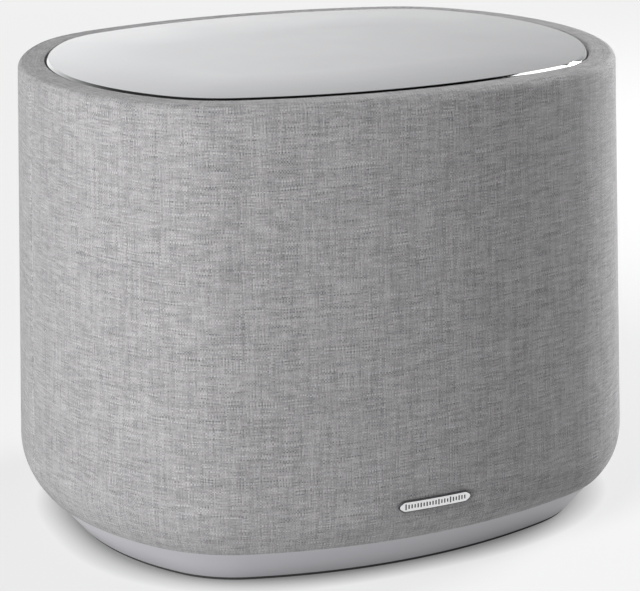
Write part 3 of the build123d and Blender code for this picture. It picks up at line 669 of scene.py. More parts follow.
def softened(corners: Sequence[tuple[float, float, float]], steps: int = 3) -> list[Point2]:
    """A closed section with rounded corners.

    Args:
        corners: (inset, height, rounding) of each corner.
        steps: Points in each rounding, less one.

    Returns:
        (inset, height) points of the loop.
    """
    points: list[Point2] = []
    for i, (x, z, size) in enumerate(corners):
        here = Vector((x, z))
        before = Vector(corners[i - 1][:2]) - here
        after = Vector(corners[(i + 1) % len(corners)][:2]) - here
        if size <= 0:
            points.append((x, z))
            continue
        a = here + before.normalized() * min(size, before.length * 0.45)
        b = here + after.normalized() * min(size, after.length * 0.45)
        for j in range(steps + 1):
            t = j / steps
            p = a * (1 - t) ** 2 + here * 2 * t * (1 - t) + b * t**2
            points.append((p.x, p.y))
    return points


# ---- the bench: operators that make a piece ------------------------------------------------------


class Bench:
    """Modelling steps, each on the piece in hand."""

    @staticmethod
    def clear() -> None:
        """Leaves nothing selected."""
        if bpy.context.mode != "OBJECT":
            bpy.ops.object.mode_set(mode="OBJECT")
        bpy.ops.object.select_all(action="DESELECT")

    @staticmethod
    def hold(piece: bpy.types.Object) -> None:
        """Selects one piece and makes it active."""
        Bench.clear()
        piece.select_set(True)
        bpy.context.view_layer.objects.active = piece

    @staticmethod
    def named(name: str) -> bpy.types.Object:
        """Names the active piece."""
        piece = bpy.context.object
        piece.name = name
        piece.data.name = name
        return piece

    @staticmethod
    def start_section(name: str, points: Sequence[Point3]) -> bpy.types.Object:
        """Adds a closed loop and moves its points to a section's places."""
        Bench.clear()
        bpy.ops.mesh.primitive_circle_add(vertices=len(points), radius=1.0, fill_type="NOTHING")
        piece = Bench.named(name)
        for vertex, place in zip(piece.data.vertices, points):
            vertex.co = place
        return piece

    @staticmethod
    def carry(name: str, section: Sequence[Point2], outline: Outline, chord: float) -> bpy.types.Object:
        """Carries a closed section round an outline, by spins and straight extrusions.

        Args:
            name: The new piece's name.
            section: (inset, height) points, in millimetres.
            outline: The outline, in millimetres.
            chord: The longest step along it, in millimetres.

        Returns:
            The closed ring, in metres.
        """
        arcs = outline.arcs
        first = []
        for inset, height in section:
            x, y = arcs[0].point(0.0, inset)
            first.append((x * MM, y * MM, height * MM))
        piece = Bench.start_section(name, first)
        bpy.ops.object.mode_set(mode="EDIT")
        bpy.ops.mesh.select_all(action="SELECT")
        for i, arc in enumerate(arcs):
            steps = max(2, math.ceil(arc.radius * arc.size / chord), math.ceil(arc.size / 0.16))
            centre = (arc.centre[0] * MM, arc.centre[1] * MM, 0.0)
            bpy.ops.mesh.spin(
                steps=steps, angle=-arc.size, center=centre, axis=(0, 0, 1), use_auto_merge=False)
            following = arcs[(i + 1) % len(arcs)]
            ax, ay = arc.point(1.0, 0.0)
            bx, by = following.point(0.0, 0.0)
            run = math.hypot(bx - ax, by - ay)
            if run > 0.01:
                count = max(1, math.ceil(run / chord))
                step = ((bx - ax) / count * MM, (by - ay) / count * MM, 0.0)
                for _ in range(count):
                    bpy.ops.mesh.extrude_edges_move(TRANSFORM_OT_translate={"value": step})
        bpy.ops.mesh.select_all(action="SELECT")
        bpy.ops.mesh.remove_doubles(threshold=WELD)
        bpy.ops.object.mode_set(mode="OBJECT")
        Bench.turn_out(piece)
        return piece

    @staticmethod
    def select_faces(piece: bpy.types.Object, test: Callable[[Vector], bool]) -> None:
        """Selects the faces whose middle passes a test, with the piece in object mode."""
        mesh = piece.data
        for part in (mesh.vertices, mesh.edges, mesh.polygons):
            part.foreach_set("select", np.zeros(len(part), bool))
        for face in mesh.polygons:
            face.select = test(face.center)

    @staticmethod
    def turn_out(piece: bpy.types.Object) -> None:
        """Turns every face of a closed piece outwards."""
        Bench.hold(piece)
        bpy.ops.object.mode_set(mode="EDIT")
        bpy.ops.mesh.select_all(action="SELECT")
        bpy.ops.mesh.normals_make_consistent(inside=False)
        bpy.ops.object.mode_set(mode="OBJECT")

    @staticmethod
    def drop_faces(piece: bpy.types.Object, test: Callable[[Vector], bool]) -> None:
        """Takes away the faces whose middle passes a test."""
        Bench.hold(piece)
        Bench.select_faces(piece, test)
        bpy.ops.object.mode_set(mode="EDIT")
        bpy.ops.mesh.select_mode(type="FACE")
        bpy.ops.mesh.delete(type="FACE")
        bpy.ops.mesh.select_mode(type="VERT")
        bpy.ops.object.mode_set(mode="OBJECT")

    @staticmethod
    def close_openings(piece: bpy.types.Object) -> None:
        """Fills every opening with one flat face."""
        Bench.hold(piece)
        bpy.ops.object.mode_set(mode="EDIT")
        bpy.ops.mesh.select_mode(type="VERT")
        bpy.ops.mesh.select_all(action="DESELECT")
        bpy.ops.mesh.select_non_manifold()
        bpy.ops.mesh.fill_holes(sides=0)
        bpy.ops.object.mode_set(mode="OBJECT")

    @staticmethod
    def smooth(piece: bpy.types.Object, angle: float = 32.0) -> None:
        """Shades smooth, with edges sharper than an angle in degrees left crisp."""
        Bench.hold(piece)
        bpy.ops.object.shade_smooth_by_angle(angle=math.radians(angle))

    @staticmethod
    def modify(piece: bpy.types.Object, kind: str, **settings: object) -> None:
        """Adds a modifier and applies it."""
        Bench.hold(piece)
        modifier = piece.modifiers.new(kind.title(), kind)
        for key, value in settings.items():
            setattr(modifier, key, value)
        bpy.ops.object.modifier_apply(modifier=modifier.name)

    @staticmethod
    def move_points(piece: bpy.types.Object, move: Callable[[np.ndarray], np.ndarray]) -> None:
        """Moves every point by a rule on the whole set of places."""
        places = np.empty(len(piece.data.vertices) * 3)
        piece.data.vertices.foreach_get("co", places)
        piece.data.vertices.foreach_set("co", move(places.reshape(-1, 3)).ravel())
        piece.data.update()

    @staticmethod
    def cut_cloth(name: str, places: np.ndarray, across: np.ndarray, along: np.ndarray) -> bpy.types.Object:
        """Lays out a flat cut of cloth and wraps it.

        Args:
            name: The new piece's name.
            places: Where each crossing of column and row goes, in metres.
            across: Distance of each column from the cut's side.
            along: Distance of each row from the cut's lower edge.

        Returns:
            The wrapped sheet, with its UV map in metres of the flat cut.
        """
        columns, rows = places.shape[0] - 1, places.shape[1] - 1
        Bench.clear()
        bpy.ops.mesh.primitive_grid_add(x_subdivisions=columns, y_subdivisions=rows, size=1.0)
        piece = Bench.named(name)
        mesh = piece.data
        flat = np.empty(len(mesh.vertices) * 3)
        mesh.vertices.foreach_get("co", flat)
        flat = flat.reshape(-1, 3)
        column = np.rint((flat[:, 0] + 0.5) * columns).astype(int)
        row = np.rint((flat[:, 1] + 0.5) * rows).astype(int)
        mesh.vertices.foreach_set("co", places[column, row].ravel())
        corners = np.empty(len(mesh.loops), np.int32)
        mesh.loops.foreach_get("vertex_index", corners)
        chart = np.stack([across[column[corners]], along[row[corners]]], axis=1)
        mesh.uv_layers[0].data.foreach_set("uv", chart.ravel())
        mesh.uv_layers[0].name = "UVMap"
        mesh.update()
        return piece

    @staticmethod
    def joined(name: str, parts: Sequence[bpy.types.Object]) -> bpy.types.Object:
        """Joins copies into one piece."""
        Bench.clear()
        for part in parts:
            part.select_set(True)
        bpy.context.view_layer.objects.active = parts[0]
        bpy.ops.object.join()
        return Bench.named(name)

    @staticmethod
    def copied(piece: bpy.types.Object, place: Matrix) -> bpy.types.Object:
        """A copy with its own mesh, moved by a matrix."""
        copy = piece.copy()
        copy.data = piece.data.copy()
        copy.data.transform(place)
        bpy.context.collection.objects.link(copy)
        return copy


class Fitter:
    """Dresses finished pieces and fixes them to the frame."""

    def __init__(self, palette: Palette) -> None:
        """Keeps the palette that the pieces are dressed from."""
        self.palette = palette

    def fit(
        self, piece: bpy.types.Object, finish: str, body: Body = Body.CABINET,
        replaces: Sequence[str] = (), slot: str | None = None,
    ) -> bpy.types.Object:
        """Dresses a piece, and fixes it to its body.

        Args:
            piece: The finished piece.
            finish: The finish's name.
            body: The body it rides on.
            replaces: The frame's nodes that it stands for.
            slot: The record's material slot, if it isn't the finish's own name; not used.

        Returns:
            The piece.
        """
        self.dress(piece, finish, replaces, slot)
        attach(piece, body.value)
        return piece

    def bridge(
        self, piece: bpy.types.Object, finish: str, replaces: Sequence[str],
        reach: Callable[[np.ndarray], np.ndarray], still: float, moving: float,
    ) -> bpy.types.Object:
        """Dresses a soft piece, and lays its points out by their reach and puts them back.

        Args:
            piece: The finished piece.
            finish: The finish's name.
            replaces: The frame's nodes that it stands for.
            reach: How far across the piece each point lies, in metres.
            still: The reach, in millimetres, from which on the piece would stay with the cabinet; not used.
            moving: The reach, in millimetres, from which on it would go with the cone; not used.

        Returns:
            The piece.
        """
        self.dress(piece, finish, replaces, None)
        rest: list[np.ndarray] = []

        def spread(p: np.ndarray) -> np.ndarray:
            """Lays each point out at its reach, after keeping its place."""
            rest.append(p.copy())
            return np.stack([reach(p), np.zeros(len(p)), p[:, 2]], axis=1)

        Bench.move_points(piece, spread)
        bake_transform(piece)
        Bench.move_points(piece, lambda p: rest[0])
        return piece

    def dress(self, piece: bpy.types.Object, finish: str, replaces: Sequence[str], slot: str | None) -> None:
        """Gives a piece its finish and the nodes it stands for."""
        piece.data.materials.clear()
        piece.data.materials.append(self.palette.get(finish))
        if replaces:
            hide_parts(*replaces)
        LOG.info("%s: %d faces, %s", piece.name, len(piece.data.polygons), finish)


# ---- the cloth cover -----------------------------------------------------------------------------


@dataclass
class ClothCover:
    """The two cloth halves, stretched over their grilles and closed by a seam at each end.

    Attributes:
        fitter: Dresses and fixes the pieces.
        thickness: The cloth's thickness.
        tuck: How deep the seam pulls the cloth in.
        tuck_width: Distance from the seam over which it is pulled in.
        dent: How deep the badge presses in.
        badge: Half width, half height and height above the floor of the part that the badge presses.
        window: The same of the opening for the connection panel.
        stitch: Length of a stitch and of its gap.
        stitch_radius: Radius of the seam's thread.
        stitch_sink: How deep its ends go into the tuck.
        seam_reach: Heights between which the seams are stitched.
    """

    fitter: Fitter
    thickness: float = 0.6
    tuck: float = 0.8
    tuck_width: float = 1.3
    dent: float = 0.35
    badge: Point3 = (21.0, 3.1, 43.6)
    window: Point3 = (57.4, 33.4, 113.0)
    stitch: Point2 = (4.0, 0.9)
    stitch_radius: float = 0.24
    stitch_sink: float = 0.45
    seam_reach: Point2 = (40.0, 245.4)

    def columns(self, side: Side) -> list[tuple[Arc, float, float]]:
        """Where the columns of threads stand.

        Args:
            side: The half of the cover.

        Returns:
            (arc, share of the arc, distance from the seam) of each column.
        """
        arcs = CABINET.plan().arcs[5:] if side is Side.FRONT else CABINET.plan().arcs[:5]
        total = sum(arc.radius * arc.size for arc in arcs)
        marks, s = [0.0], 0.0
        while s < total:
            edge = min(s, total - s)
            near_badge = side is Side.FRONT and abs(s - total / 2) < 27
            s += 0.45 + 0.16 * edge if edge < 9 else (1.35 if near_badge else 2.0)
            marks.append(min(s, total))
        marks = sorted({round(min(m, total - m) if m > total / 2 else m, 4) for m in marks})
        marks = marks + [round(total - m, 4) for m in reversed(marks)]
        result, passed, i = [], 0.0, 0
        for mark in sorted(set(marks)):
            while i < 4 and mark > passed + arcs[i].radius * arcs[i].size + 1e-6:
                passed += arcs[i].radius * arcs[i].size
                i += 1
            result.append((arcs[i], (mark - passed) / (arcs[i].radius * arcs[i].size), mark))
        return result

    def build(self, side: Side) -> bpy.types.Object:
        """Makes one half.

        Args:
            side: The half of the cover.

        Returns:
            The fitted piece.
        """
        section, columns = CABINET.cover_section(), self.columns(side)
        total = columns[-1][2]
        places = np.zeros((len(columns), len(section), 3))
        for i, (arc, share, mark) in enumerate(columns):
            edge = min(mark, total - mark)
            tuck = self.tuck * math.exp(-((edge / self.tuck_width) ** 2))
            for j, (inset, z) in enumerate(section):
                draw = tuck if z > 24 and inset < 15 else 0.3 * tuck
                x, y = arc.point(share, inset + draw)
                if side is Side.FRONT:
                    y += self.pressed(x, z)
                places[i, j] = (x * MM, y * MM, z * MM)
        across = np.array([mark for _, _, mark in columns]) * MM
        steps = [math.dist(a, b) for a, b in zip(section, section[1:])]
        along = np.concatenate([[0.0], np.cumsum(steps)]) * MM
        name = f"cloth_{side.name.lower()}"
        piece = Bench.cut_cloth(name, places, across, along)
        self.face_out(piece)
        if side is Side.REAR:
            self.cut_window(piece)
        Bench.modify(piece, "SOLIDIFY", thickness=self.thickness * MM, offset=-1.0, use_even_offset=True)
        Bench.smooth(piece, 60.0)
        self.fitter.fit(piece, "cover_cloth", replaces=[f"fabric_{side.name.lower()}"])
        return piece

    def pressed(self, x: float, z: float) -> float:
        """How far the badge presses the cloth in at a place on the front."""
        half, high, middle = self.badge
        outside = math.hypot(max(0.0, abs(x) - half + 2), max(0.0, abs(z - middle) - high + 1))
        return self.dent * math.exp(-((outside / 3.2) ** 2))

    @staticmethod
    def face_out(piece: bpy.types.Object) -> None:
        """Turns the faces outwards."""
        Bench.hold(piece)
        face = max(piece.data.polygons, key=lambda f: abs(f.center.y))
        if face.normal.y * face.center.y < 0:
            bpy.ops.object.mode_set(mode="EDIT")
            bpy.ops.mesh.select_all(action="SELECT")
            bpy.ops.mesh.flip_normals()
            bpy.ops.object.mode_set(mode="OBJECT")

    def cut_window(self, piece: bpy.types.Object) -> None:
        """Cuts the opening for the connection panel's frame."""
        half, high, middle = (value * MM for value in self.window)
        Bench.drop_faces(piece, lambda c: abs(c.x) < half and abs(c.z - middle) < high)

    def seams(self) -> bpy.types.Object:
        """Stitches down both seams, each a slack loop of thread lying in the tuck."""
        Bench.clear()
        length, gap = self.stitch
        bpy.ops.mesh.primitive_cylinder_add(vertices=7, radius=self.stitch_radius * MM, depth=length * MM)
        stitch = Bench.named("stitch")
        bpy.ops.object.mode_set(mode="EDIT")
        bpy.ops.mesh.select_all(action="SELECT")
        bpy.ops.mesh.subdivide(number_cuts=3)
        bpy.ops.object.mode_set(mode="OBJECT")
        half = length * MM / 2

        def bend(p: np.ndarray) -> np.ndarray:
            """Slims a stitch to its ends and sinks them into the tuck."""
            share = np.clip(np.abs(p[:, 2]) / half, 0, 1)
            slim = np.sqrt(np.clip(1 - share**4, 0.04, 1))
            sunk = self.stitch_sink * MM * share**3
            return np.stack([p[:, 0] * slim - sunk, p[:, 1] * slim, p[:, 2]], axis=1)

        Bench.move_points(stitch, bend)
        leaning = Matrix.Rotation(-math.radians(CABINET.wall_lean), 4, "Y")
        parts = []
        z, top = self.seam_reach
        while z < top:
            inset = max(0.0, CABINET.wall_inset(z))
            x = (CABINET.half_width - inset - self.tuck + self.stitch_radius / 2) * MM
            for turn in (0.0, math.pi):
                place = Matrix.Rotation(turn, 4, "Z") @ Matrix.Translation((x, 0, z * MM)) @ leaning
                parts.append(Bench.copied(stitch, place))
            z += length + gap
        bpy.data.objects.remove(stitch)
        piece = Bench.joined("seam_stitches", parts)
        Bench.smooth(piece, 60.0)
        return self.fitter.fit(piece, "seam_thread", slot="cover_cloth")

    def make(self) -> None:
        """Makes both halves and the seams."""
        for side in Side:
            self.build(side)
        self.seams()


# ---- top and base --------------------------------------------------------------------------------


@dataclass
class TopPlate:
    """The gloss plate let into the top, with a polished bevel all round."""

    fitter: Fitter
    inset: float = 23.9
    thickness: float = 3.0
    bevel: float = 1.2
    top: float = 254.0
    middle: float = 82.0

    def make(self) -> None:
        """Makes the plate and fits it."""
        low = self.top - self.thickness
        corners = [
            (self.middle, low, 0.0),
            (self.inset, low, 0.15),
            (self.inset, self.top - self.bevel, 0.12),
            (self.inset + self.bevel, self.top, 0.10),
            (self.middle, self.top, 0.0),
        ]
        piece = Bench.carry("gloss_plate", softened(corners), CABINET.plan(), 3.0)
        Bench.drop_faces(piece, self.inner_wall)
        Bench.close_openings(piece)
        Bench.turn_out(piece)
        Bench.smooth(piece, 24.0)
        self.fitter.fit(piece, "plate_lacquer", replaces=["top_plate"])
        piece.data.materials.append(self.fitter.palette.get("polished_edge"))
        for face in piece.data.polygons:
            face.material_index = 1 if 0.1 < face.normal.z < 0.97 else 0

    def inner_wall(self, c: Vector) -> bool:
        """True for a face of the ring's inner wall, which goes when the ring becomes a disc."""
        half_way = (self.top - self.thickness / 2) * MM
        return abs(c.z - half_way) < 0.4 * MM and math.hypot(c.x, c.y * 1.3) < 105 * MM


@dataclass
class Base:
    """The drawn-in base: its skirt, its screws' holes and the soft ring it stands on.

    Attributes:
        fitter: Dresses and fixes the pieces.
        top_z: Height of the skirt's upper edge.
        top_inset: Its inset there.
        foot_inset: Its inset at its lower edge.
        foot_z: Height of the lower edge.
        flange_z: Height of the flange's upper face.
        flange_inset: Inset of the flange's edge.
        wall: How thick the skirt is, seen from above.
        rib: Outer and inner inset of the rib that centres the grilles.
        screw_inset: Inset of the screws.
        screws: How many there are.
        screw_shank: Radius and top of each screw's hole.
        screw_sink: Radius and top of its countersink.
        ring: Outer and inner inset of the soft ring.
        groove_inset: How far its grooves are from its edges.
        groove: A groove's half width at the tread and at its bottom, and its depth.
    """

    fitter: Fitter
    top_z: float = 22.0
    top_inset: float = 10.2
    foot_inset: float = 25.8
    foot_z: float = 2.0
    flange_z: float = 6.0
    flange_inset: float = 46.0
    wall: float = 4.7
    rib: Point2 = (14.6, 17.5)
    screw_inset: float = 41.0
    screws: int = 8
    screw_shank: Point2 = (1.7, 8.0)
    screw_sink: Point2 = (3.6, 4.4)
    ring: Point2 = (27.5, 35.5)
    groove_inset: float = 2.6
    groove: Point3 = (0.6, 0.4, 0.6)

    def make(self) -> None:
        """Makes the skirt and the foot ring."""
        self.skirt()
        self.foot()

    def skirt(self) -> None:
        """The leaning skirt with its flange and the rib that centres the grilles."""
        lean = (self.foot_inset - self.top_inset) / (self.top_z - self.foot_z)
        inner = self.foot_inset + self.wall - lean * (self.flange_z - self.foot_z)
        shelf = self.top_z - (self.rib[1] - self.top_inset - self.wall) / lean
        corners = [
            (self.top_inset, self.top_z, 0.5),
            (self.foot_inset, self.foot_z, 0.6),
            (self.flange_inset, self.foot_z, 0.4),
            (self.flange_inset, self.flange_z, 0.4),
            (inner, self.flange_z, 0.6),
            (self.rib[1], shelf, 0.6),
            (self.rib[1], self.top_z + 10, 0.4),
            (self.rib[0], self.top_z + 10, 0.4),
            (self.rib[0], self.top_z, 0.5),
        ]
        piece = Bench.carry("base_shell", softened(corners), CABINET.plan(), 3.0)
        Bench.hold(piece)
        drill = self.drill()
        Bench.modify(piece, "BOOLEAN", operation="DIFFERENCE", object=drill, solver="EXACT")
        bpy.data.objects.remove(drill)
        Bench.smooth(piece, 28.0)
        self.fitter.fit(piece, "base_grey", replaces=["base_skirt"])

    def screw_places(self) -> Iterator[Point2]:
        """Where the screws stand, evenly along the plan at their inset."""
        arcs = CABINET.plan().arcs
        lengths = [(arc.radius - self.screw_inset) * arc.size for arc in arcs]
        for i in range(self.screws):
            left = (i + 0.5) * sum(lengths) / self.screws
            for arc, length in zip(arcs, lengths):
                if left <= length:
                    yield arc.point(left / length, self.screw_inset)
                    break
                left -= length

    def drill(self) -> bpy.types.Object:
        """The shapes that cut the screws' holes and their countersinks."""
        slim, wide = [], []
        for x, y in self.screw_places():
            for parts, (radius, high) in ((slim, self.screw_shank), (wide, self.screw_sink)):
                Bench.clear()
                middle = (x * MM, y * MM, high / 2 * MM)
                bpy.ops.mesh.primitive_cylinder_add(
                    vertices=36, radius=radius * MM, depth=high * MM, location=middle)
                parts.append(Bench.named("drill"))
                bpy.ops.object.transform_apply(location=True, rotation=False, scale=False)
        drill = Bench.joined("drill", wide)
        other = Bench.joined("drill_slim", slim)
        Bench.modify(drill, "BOOLEAN", operation="UNION", object=other, solver="EXACT")
        bpy.data.objects.remove(other)
        return drill

    def foot(self) -> None:
        """The soft ring, with two grooves in its tread."""
        outer, inner = self.ring
        corners: list[tuple[float, float, float]] = [(outer, self.foot_z, 0.2), (outer, 0.0, 0.25)]
        tread, bottom, depth = self.groove
        for middle in (outer + self.groove_inset, inner - self.groove_inset):
            corners += [(middle - tread, 0.0, 0.2), (middle - bottom, depth, 0.2)]
            corners += [(middle + bottom, depth, 0.2), (middle + tread, 0.0, 0.2)]
        corners += [(inner, 0.0, 0.5), (inner, self.foot_z, 0.2)]
        piece = Bench.carry("soft_foot", softened(corners, 2), CABINET.plan(), 4.0)
        Bench.smooth(piece, 40.0)
        self.fitter.fit(piece, "dark_rubber", replaces=["foot_ring"])


# ---- badge ---------------------------------------------------------------------------------------


@dataclass
class Badge:
    """The metal badge low on the front, with a row of plain level bars.

    Attributes:
        fitter: Dresses and fixes the pieces.
        width: The plate's width, to its rounded points.
        height: The plate's height.
        taper: How far each end takes to come to its point.
        rounding: Radius of the points.
        z: Height of its middle above the floor.
        margin: How far the tray shows round the plate.
        proud: How far the plate's face stands outside the cloth.
        thickness: The plate's thickness.
        pitch: Distance between bars.
        bar: A bar's width, and how thick it is.
        bars: Height of each bar.
    """

    fitter: Fitter
    width: float = 40.2
    height: float = 4.9
    taper: float = 3.4
    rounding: float = 1.2
    z: float = 43.6
    margin: float = 0.6
    proud: float = 1.0
    thickness: float = 0.85
    pitch: float = 1.68
    bar: Point2 = (0.78, 0.12)
    bars: tuple[float, ...] = (
        3.2, 2.3, 2.2, 1.9, 2.3, 2.4, 2.0, 2.3, 1.9, 2.2, 2.4,
        3.0, 2.1, 2.3, 1.9, 3.2, 2.3, 2.0, 2.6, 2.3, 2.1,
    )

    def curved(self, piece: bpy.types.Object) -> None:
        """Stands a flat piece up on the front: its height becomes its distance outside the cloth."""
        centre = (CABINET.front_radius - CABINET.half_depth) * MM
        radius = CABINET.front_radius * MM

        def stand(p: np.ndarray) -> np.ndarray:
            """Wraps the points round the front of the cabinet."""
            y = centre - np.sqrt((radius + p[:, 2]) ** 2 - p[:, 0] ** 2)
            return np.stack([p[:, 0], y, p[:, 1] + self.z * MM], axis=1)

        Bench.move_points(piece, stand)
        Bench.turn_out(piece)

    def make(self) -> None:
        """Makes the tray, the plate and its bars."""
        self.tray()
        self.plate()
        self.level_bars()

    def tray(self) -> None:
        """The dark tray round the plate."""
        height = self.height + 2 * self.margin
        width = self.width + 2.8 * self.margin
        outline = Outline.pointed_bar(width, height, self.taper + 0.5, self.rounding + 0.4)
        corners = [(0.0, -0.3, 0.0), (0.0, 0.7, 0.18), (0.45, 0.7, 0.1), (0.5, -0.25, 0.0), (1.1, -0.3, 0.0)]
        piece = Bench.carry("badge_surround", softened(corners), outline, 1.2)
        self.curved(piece)
        Bench.smooth(piece, 40.0)
        self.fitter.fit(piece, "badge_edge", replaces=["badge_tray"], slot="black_plastic")

    def plate(self) -> None:
        """The plate: a strip drawn to a point at each end, thickened and bevelled."""
        columns, rows = 96, 8
        half = self.width / 2
        across = np.linspace(-1, 1, columns + 1)
        across = np.sign(across) * (1 - (1 - np.abs(across)) ** 1.35)
        places = np.zeros((columns + 1, rows + 1, 3))
        for i, u in enumerate(across):
            x = u * half
            reach = self.half_height(half - abs(x))
            for j in range(rows + 1):
                places[i, j] = (x * MM, reach * (2 * j / rows - 1) * MM, self.proud * MM)
        line = np.linspace(0, 1, columns + 1) * self.width * MM
        piece = Bench.cut_cloth("badge_face", places, line, np.linspace(0, self.height * MM, rows + 1))
        Bench.modify(piece, "SOLIDIFY", thickness=self.thickness * MM, offset=-1.0)
        Bench.modify(
            piece, "BEVEL", width=0.28 * MM, segments=3, limit_method="ANGLE", angle_limit=math.radians(50))
        self.curved(piece)
        Bench.smooth(piece, 35.0)
        self.fitter.fit(piece, "badge_metal", replaces=["badge_plate"])

    def half_height(self, left: float) -> float:
        """Half the plate's height at a distance from its tip: a rounded point, then the straight side."""
        slope = math.atan2(self.height / 2, self.taper)
        touch = self.rounding * (1 - math.sin(slope))
        if left < touch:
            return max(0.06, math.sqrt(max(0.0, self.rounding**2 - (self.rounding - left) ** 2)))
        reach = self.rounding * math.cos(slope) + (left - touch) * math.tan(slope)
        over = (reach - self.height / 2) / 0.5
        return self.height / 2 - 0.12 * math.log1p(math.exp(-4 * over)) if over > -3 else reach

    def level_bars(self) -> None:
        """A row of upright bars, like a level meter, let in across the plate."""
        parts = []
        wide, thick = self.bar
        first = -self.pitch * (len(self.bars) - 1) / 2
        for i, high in enumerate(self.bars):
            Bench.clear()
            place = ((first + i * self.pitch) * MM, 0.0, (self.proud - 0.02) * MM)
            bpy.ops.mesh.primitive_cube_add(size=1.0, location=place)
            part = Bench.named("bar")
            bpy.ops.transform.resize(value=(wide * MM, high * MM, thick * MM))
            bpy.ops.object.transform_apply(location=True, rotation=False, scale=True)
            Bench.modify(part, "BEVEL", width=0.035 * MM, segments=2)
            parts.append(part)
        piece = Bench.joined("badge_bars", parts)
        self.curved(piece)
        Bench.smooth(piece, 35.0)
        self.fitter.fit(piece, "badge_ink", slot="black_plastic")


# ---- connection panel ----------------------------------------------------------------------------


@dataclass
class RearPanel:
    """The framed recess in the back, with its two push buttons.

    Attributes:
        fitter: Dresses and fixes the pieces.
        z: Height of the recess's middle above the floor.
        y: Where the recess's back is.
        size: Width and height of the frame.
        corner: Radius of its corners.
        collar: How wide its collar lies on the cloth.
        wall: Thickness of its wall.
        button_z: Height of the buttons.
        power: Place along X and radius of the power button.
        pair: The same of the pairing button.
        travel_face: Where the buttons' faces stand at rest.
        stem: How far a button goes on behind the recess's back.
    """

    fitter: Fitter
    z: float = 113.0
    y: float = 127.5
    size: Point2 = (119.0, 71.0)
    corner: float = 9.0
    collar: float = 2.5
    wall: float = 2.0
    button_z: float = 122.0
    power: Point2 = (34.0, 6.0)
    pair: Point2 = (12.0, 4.0)
    travel_face: float = 129.1
    stem: float = 3.3

    def make(self) -> None:
        """Makes the frame, the buttons and their marks."""
        self.bezel()
        self.button("power_key", self.power, Body.POWER, "power_button")
        self.button("pair_key", self.pair, Body.PAIR, "pair_button")
        self.mark("power_mark", self.power, Body.POWER, ((2.4, 300.0),), stroke=True)
        self.mark("pair_mark", self.pair, Body.PAIR, ((0.9, 90.0), (1.9, 90.0)), stroke=False)

    def surface(self, x: np.ndarray, z: np.ndarray) -> np.ndarray:
        """Depth of the cloth's outside behind a place on the back, in metres."""
        reach = CABINET.front_radius - np.tan(math.radians(CABINET.wall_lean)) * (z / MM - CABINET.widest_z)
        centre = CABINET.half_depth - CABINET.front_radius
        return (centre + np.sqrt(reach**2 - (x / MM) ** 2)) * MM

    def bezel(self) -> None:
        """The frame that lines the opening; its collar follows the curve of the back."""
        deep, far = -90.0, self.collar + self.wall
        corners = [
            (0.0, 0.1, 0.0), (0.0, 0.95, 0.45), (far - 0.3, 1.0, 0.3), (far, 0.2, 0.0),
            (far, deep, 0.0), (self.collar, deep, 0.0), (self.collar, 0.1, 0.0),
        ]
        outline = Outline.rounded_bar(*self.size, self.corner)
        piece = Bench.carry("panel_frame", softened(corners), outline, 4.0)

        def stand(p: np.ndarray) -> np.ndarray:
            """Sets the collar on the cloth's curve and the far end square in the recess."""
            z = p[:, 1] + self.z * MM
            y = np.where(p[:, 2] < -0.05, self.y * MM, self.surface(p[:, 0], z) + p[:, 2])
            return np.stack([p[:, 0], y, z], axis=1)

        Bench.move_points(piece, stand)
        Bench.turn_out(piece)
        Bench.smooth(piece, 35.0)
        self.fitter.fit(piece, "black_plastic", replaces=["rear_bezel"])

    def button(self, name: str, place: Point2, body: Body, node: str) -> None:
        """A push button with a dished face and a rounded edge."""
        x, radius = place
        back = self.y - self.stem
        middle = (x * MM, (self.travel_face + back) / 2 * MM, self.button_z * MM)
        Bench.clear()
        bpy.ops.mesh.primitive_cylinder_add(
            vertices=40, radius=radius * MM, depth=(self.travel_face - back) * MM, end_fill_type="NGON",
            location=middle, rotation=(-math.pi / 2, 0, 0))
        piece = Bench.named(name)
        bpy.ops.object.transform_apply(location=True, rotation=True, scale=False)
        Bench.select_faces(piece, lambda c: c.y > (self.travel_face - 0.01) * MM)
        bpy.ops.object.mode_set(mode="EDIT")
        bpy.ops.mesh.select_mode(type="FACE")
        bpy.ops.mesh.inset(thickness=0.5 * MM, depth=0.0)
        for share in (0.25, 0.25, 0.2):
            bpy.ops.mesh.inset(thickness=radius * share * MM, depth=-0.06 * MM)
        bpy.ops.mesh.select_mode(type="VERT")
        bpy.ops.object.mode_set(mode="OBJECT")
        Bench.modify(
            piece, "BEVEL", width=0.4 * MM, segments=4, limit_method="ANGLE", angle_limit=math.radians(60))
        Bench.smooth(piece, 30.0)
        self.fitter.fit(piece, "black_plastic", body, replaces=[node])

    def mark(
        self, name: str, place: Point2, body: Body, rings: Sequence[Point2], stroke: bool,
    ) -> None:
        """Raised marks on a button: parts of rings, and an upright stroke."""
        x, _ = place
        face = (self.travel_face + 0.02) * MM
        parts = []
        for radius, sweep in rings:
            Bench.clear()
            bpy.ops.mesh.primitive_torus_add(
                major_segments=36, minor_segments=6, major_radius=radius * MM, minor_radius=0.2 * MM,
                location=(x * MM, face - 0.1 * MM, self.button_z * MM), rotation=(math.pi / 2, 0, 0))
            part = Bench.named("ring")
            bpy.ops.object.transform_apply(location=True, rotation=True, scale=False)
            half = math.radians((360.0 - sweep) / 2)

            def gap(c: Vector, limit: float = half) -> bool:
                """True for a face in the part of the ring that is left open."""
                return abs(math.atan2(c.x - x * MM, c.z - self.button_z * MM)) < limit

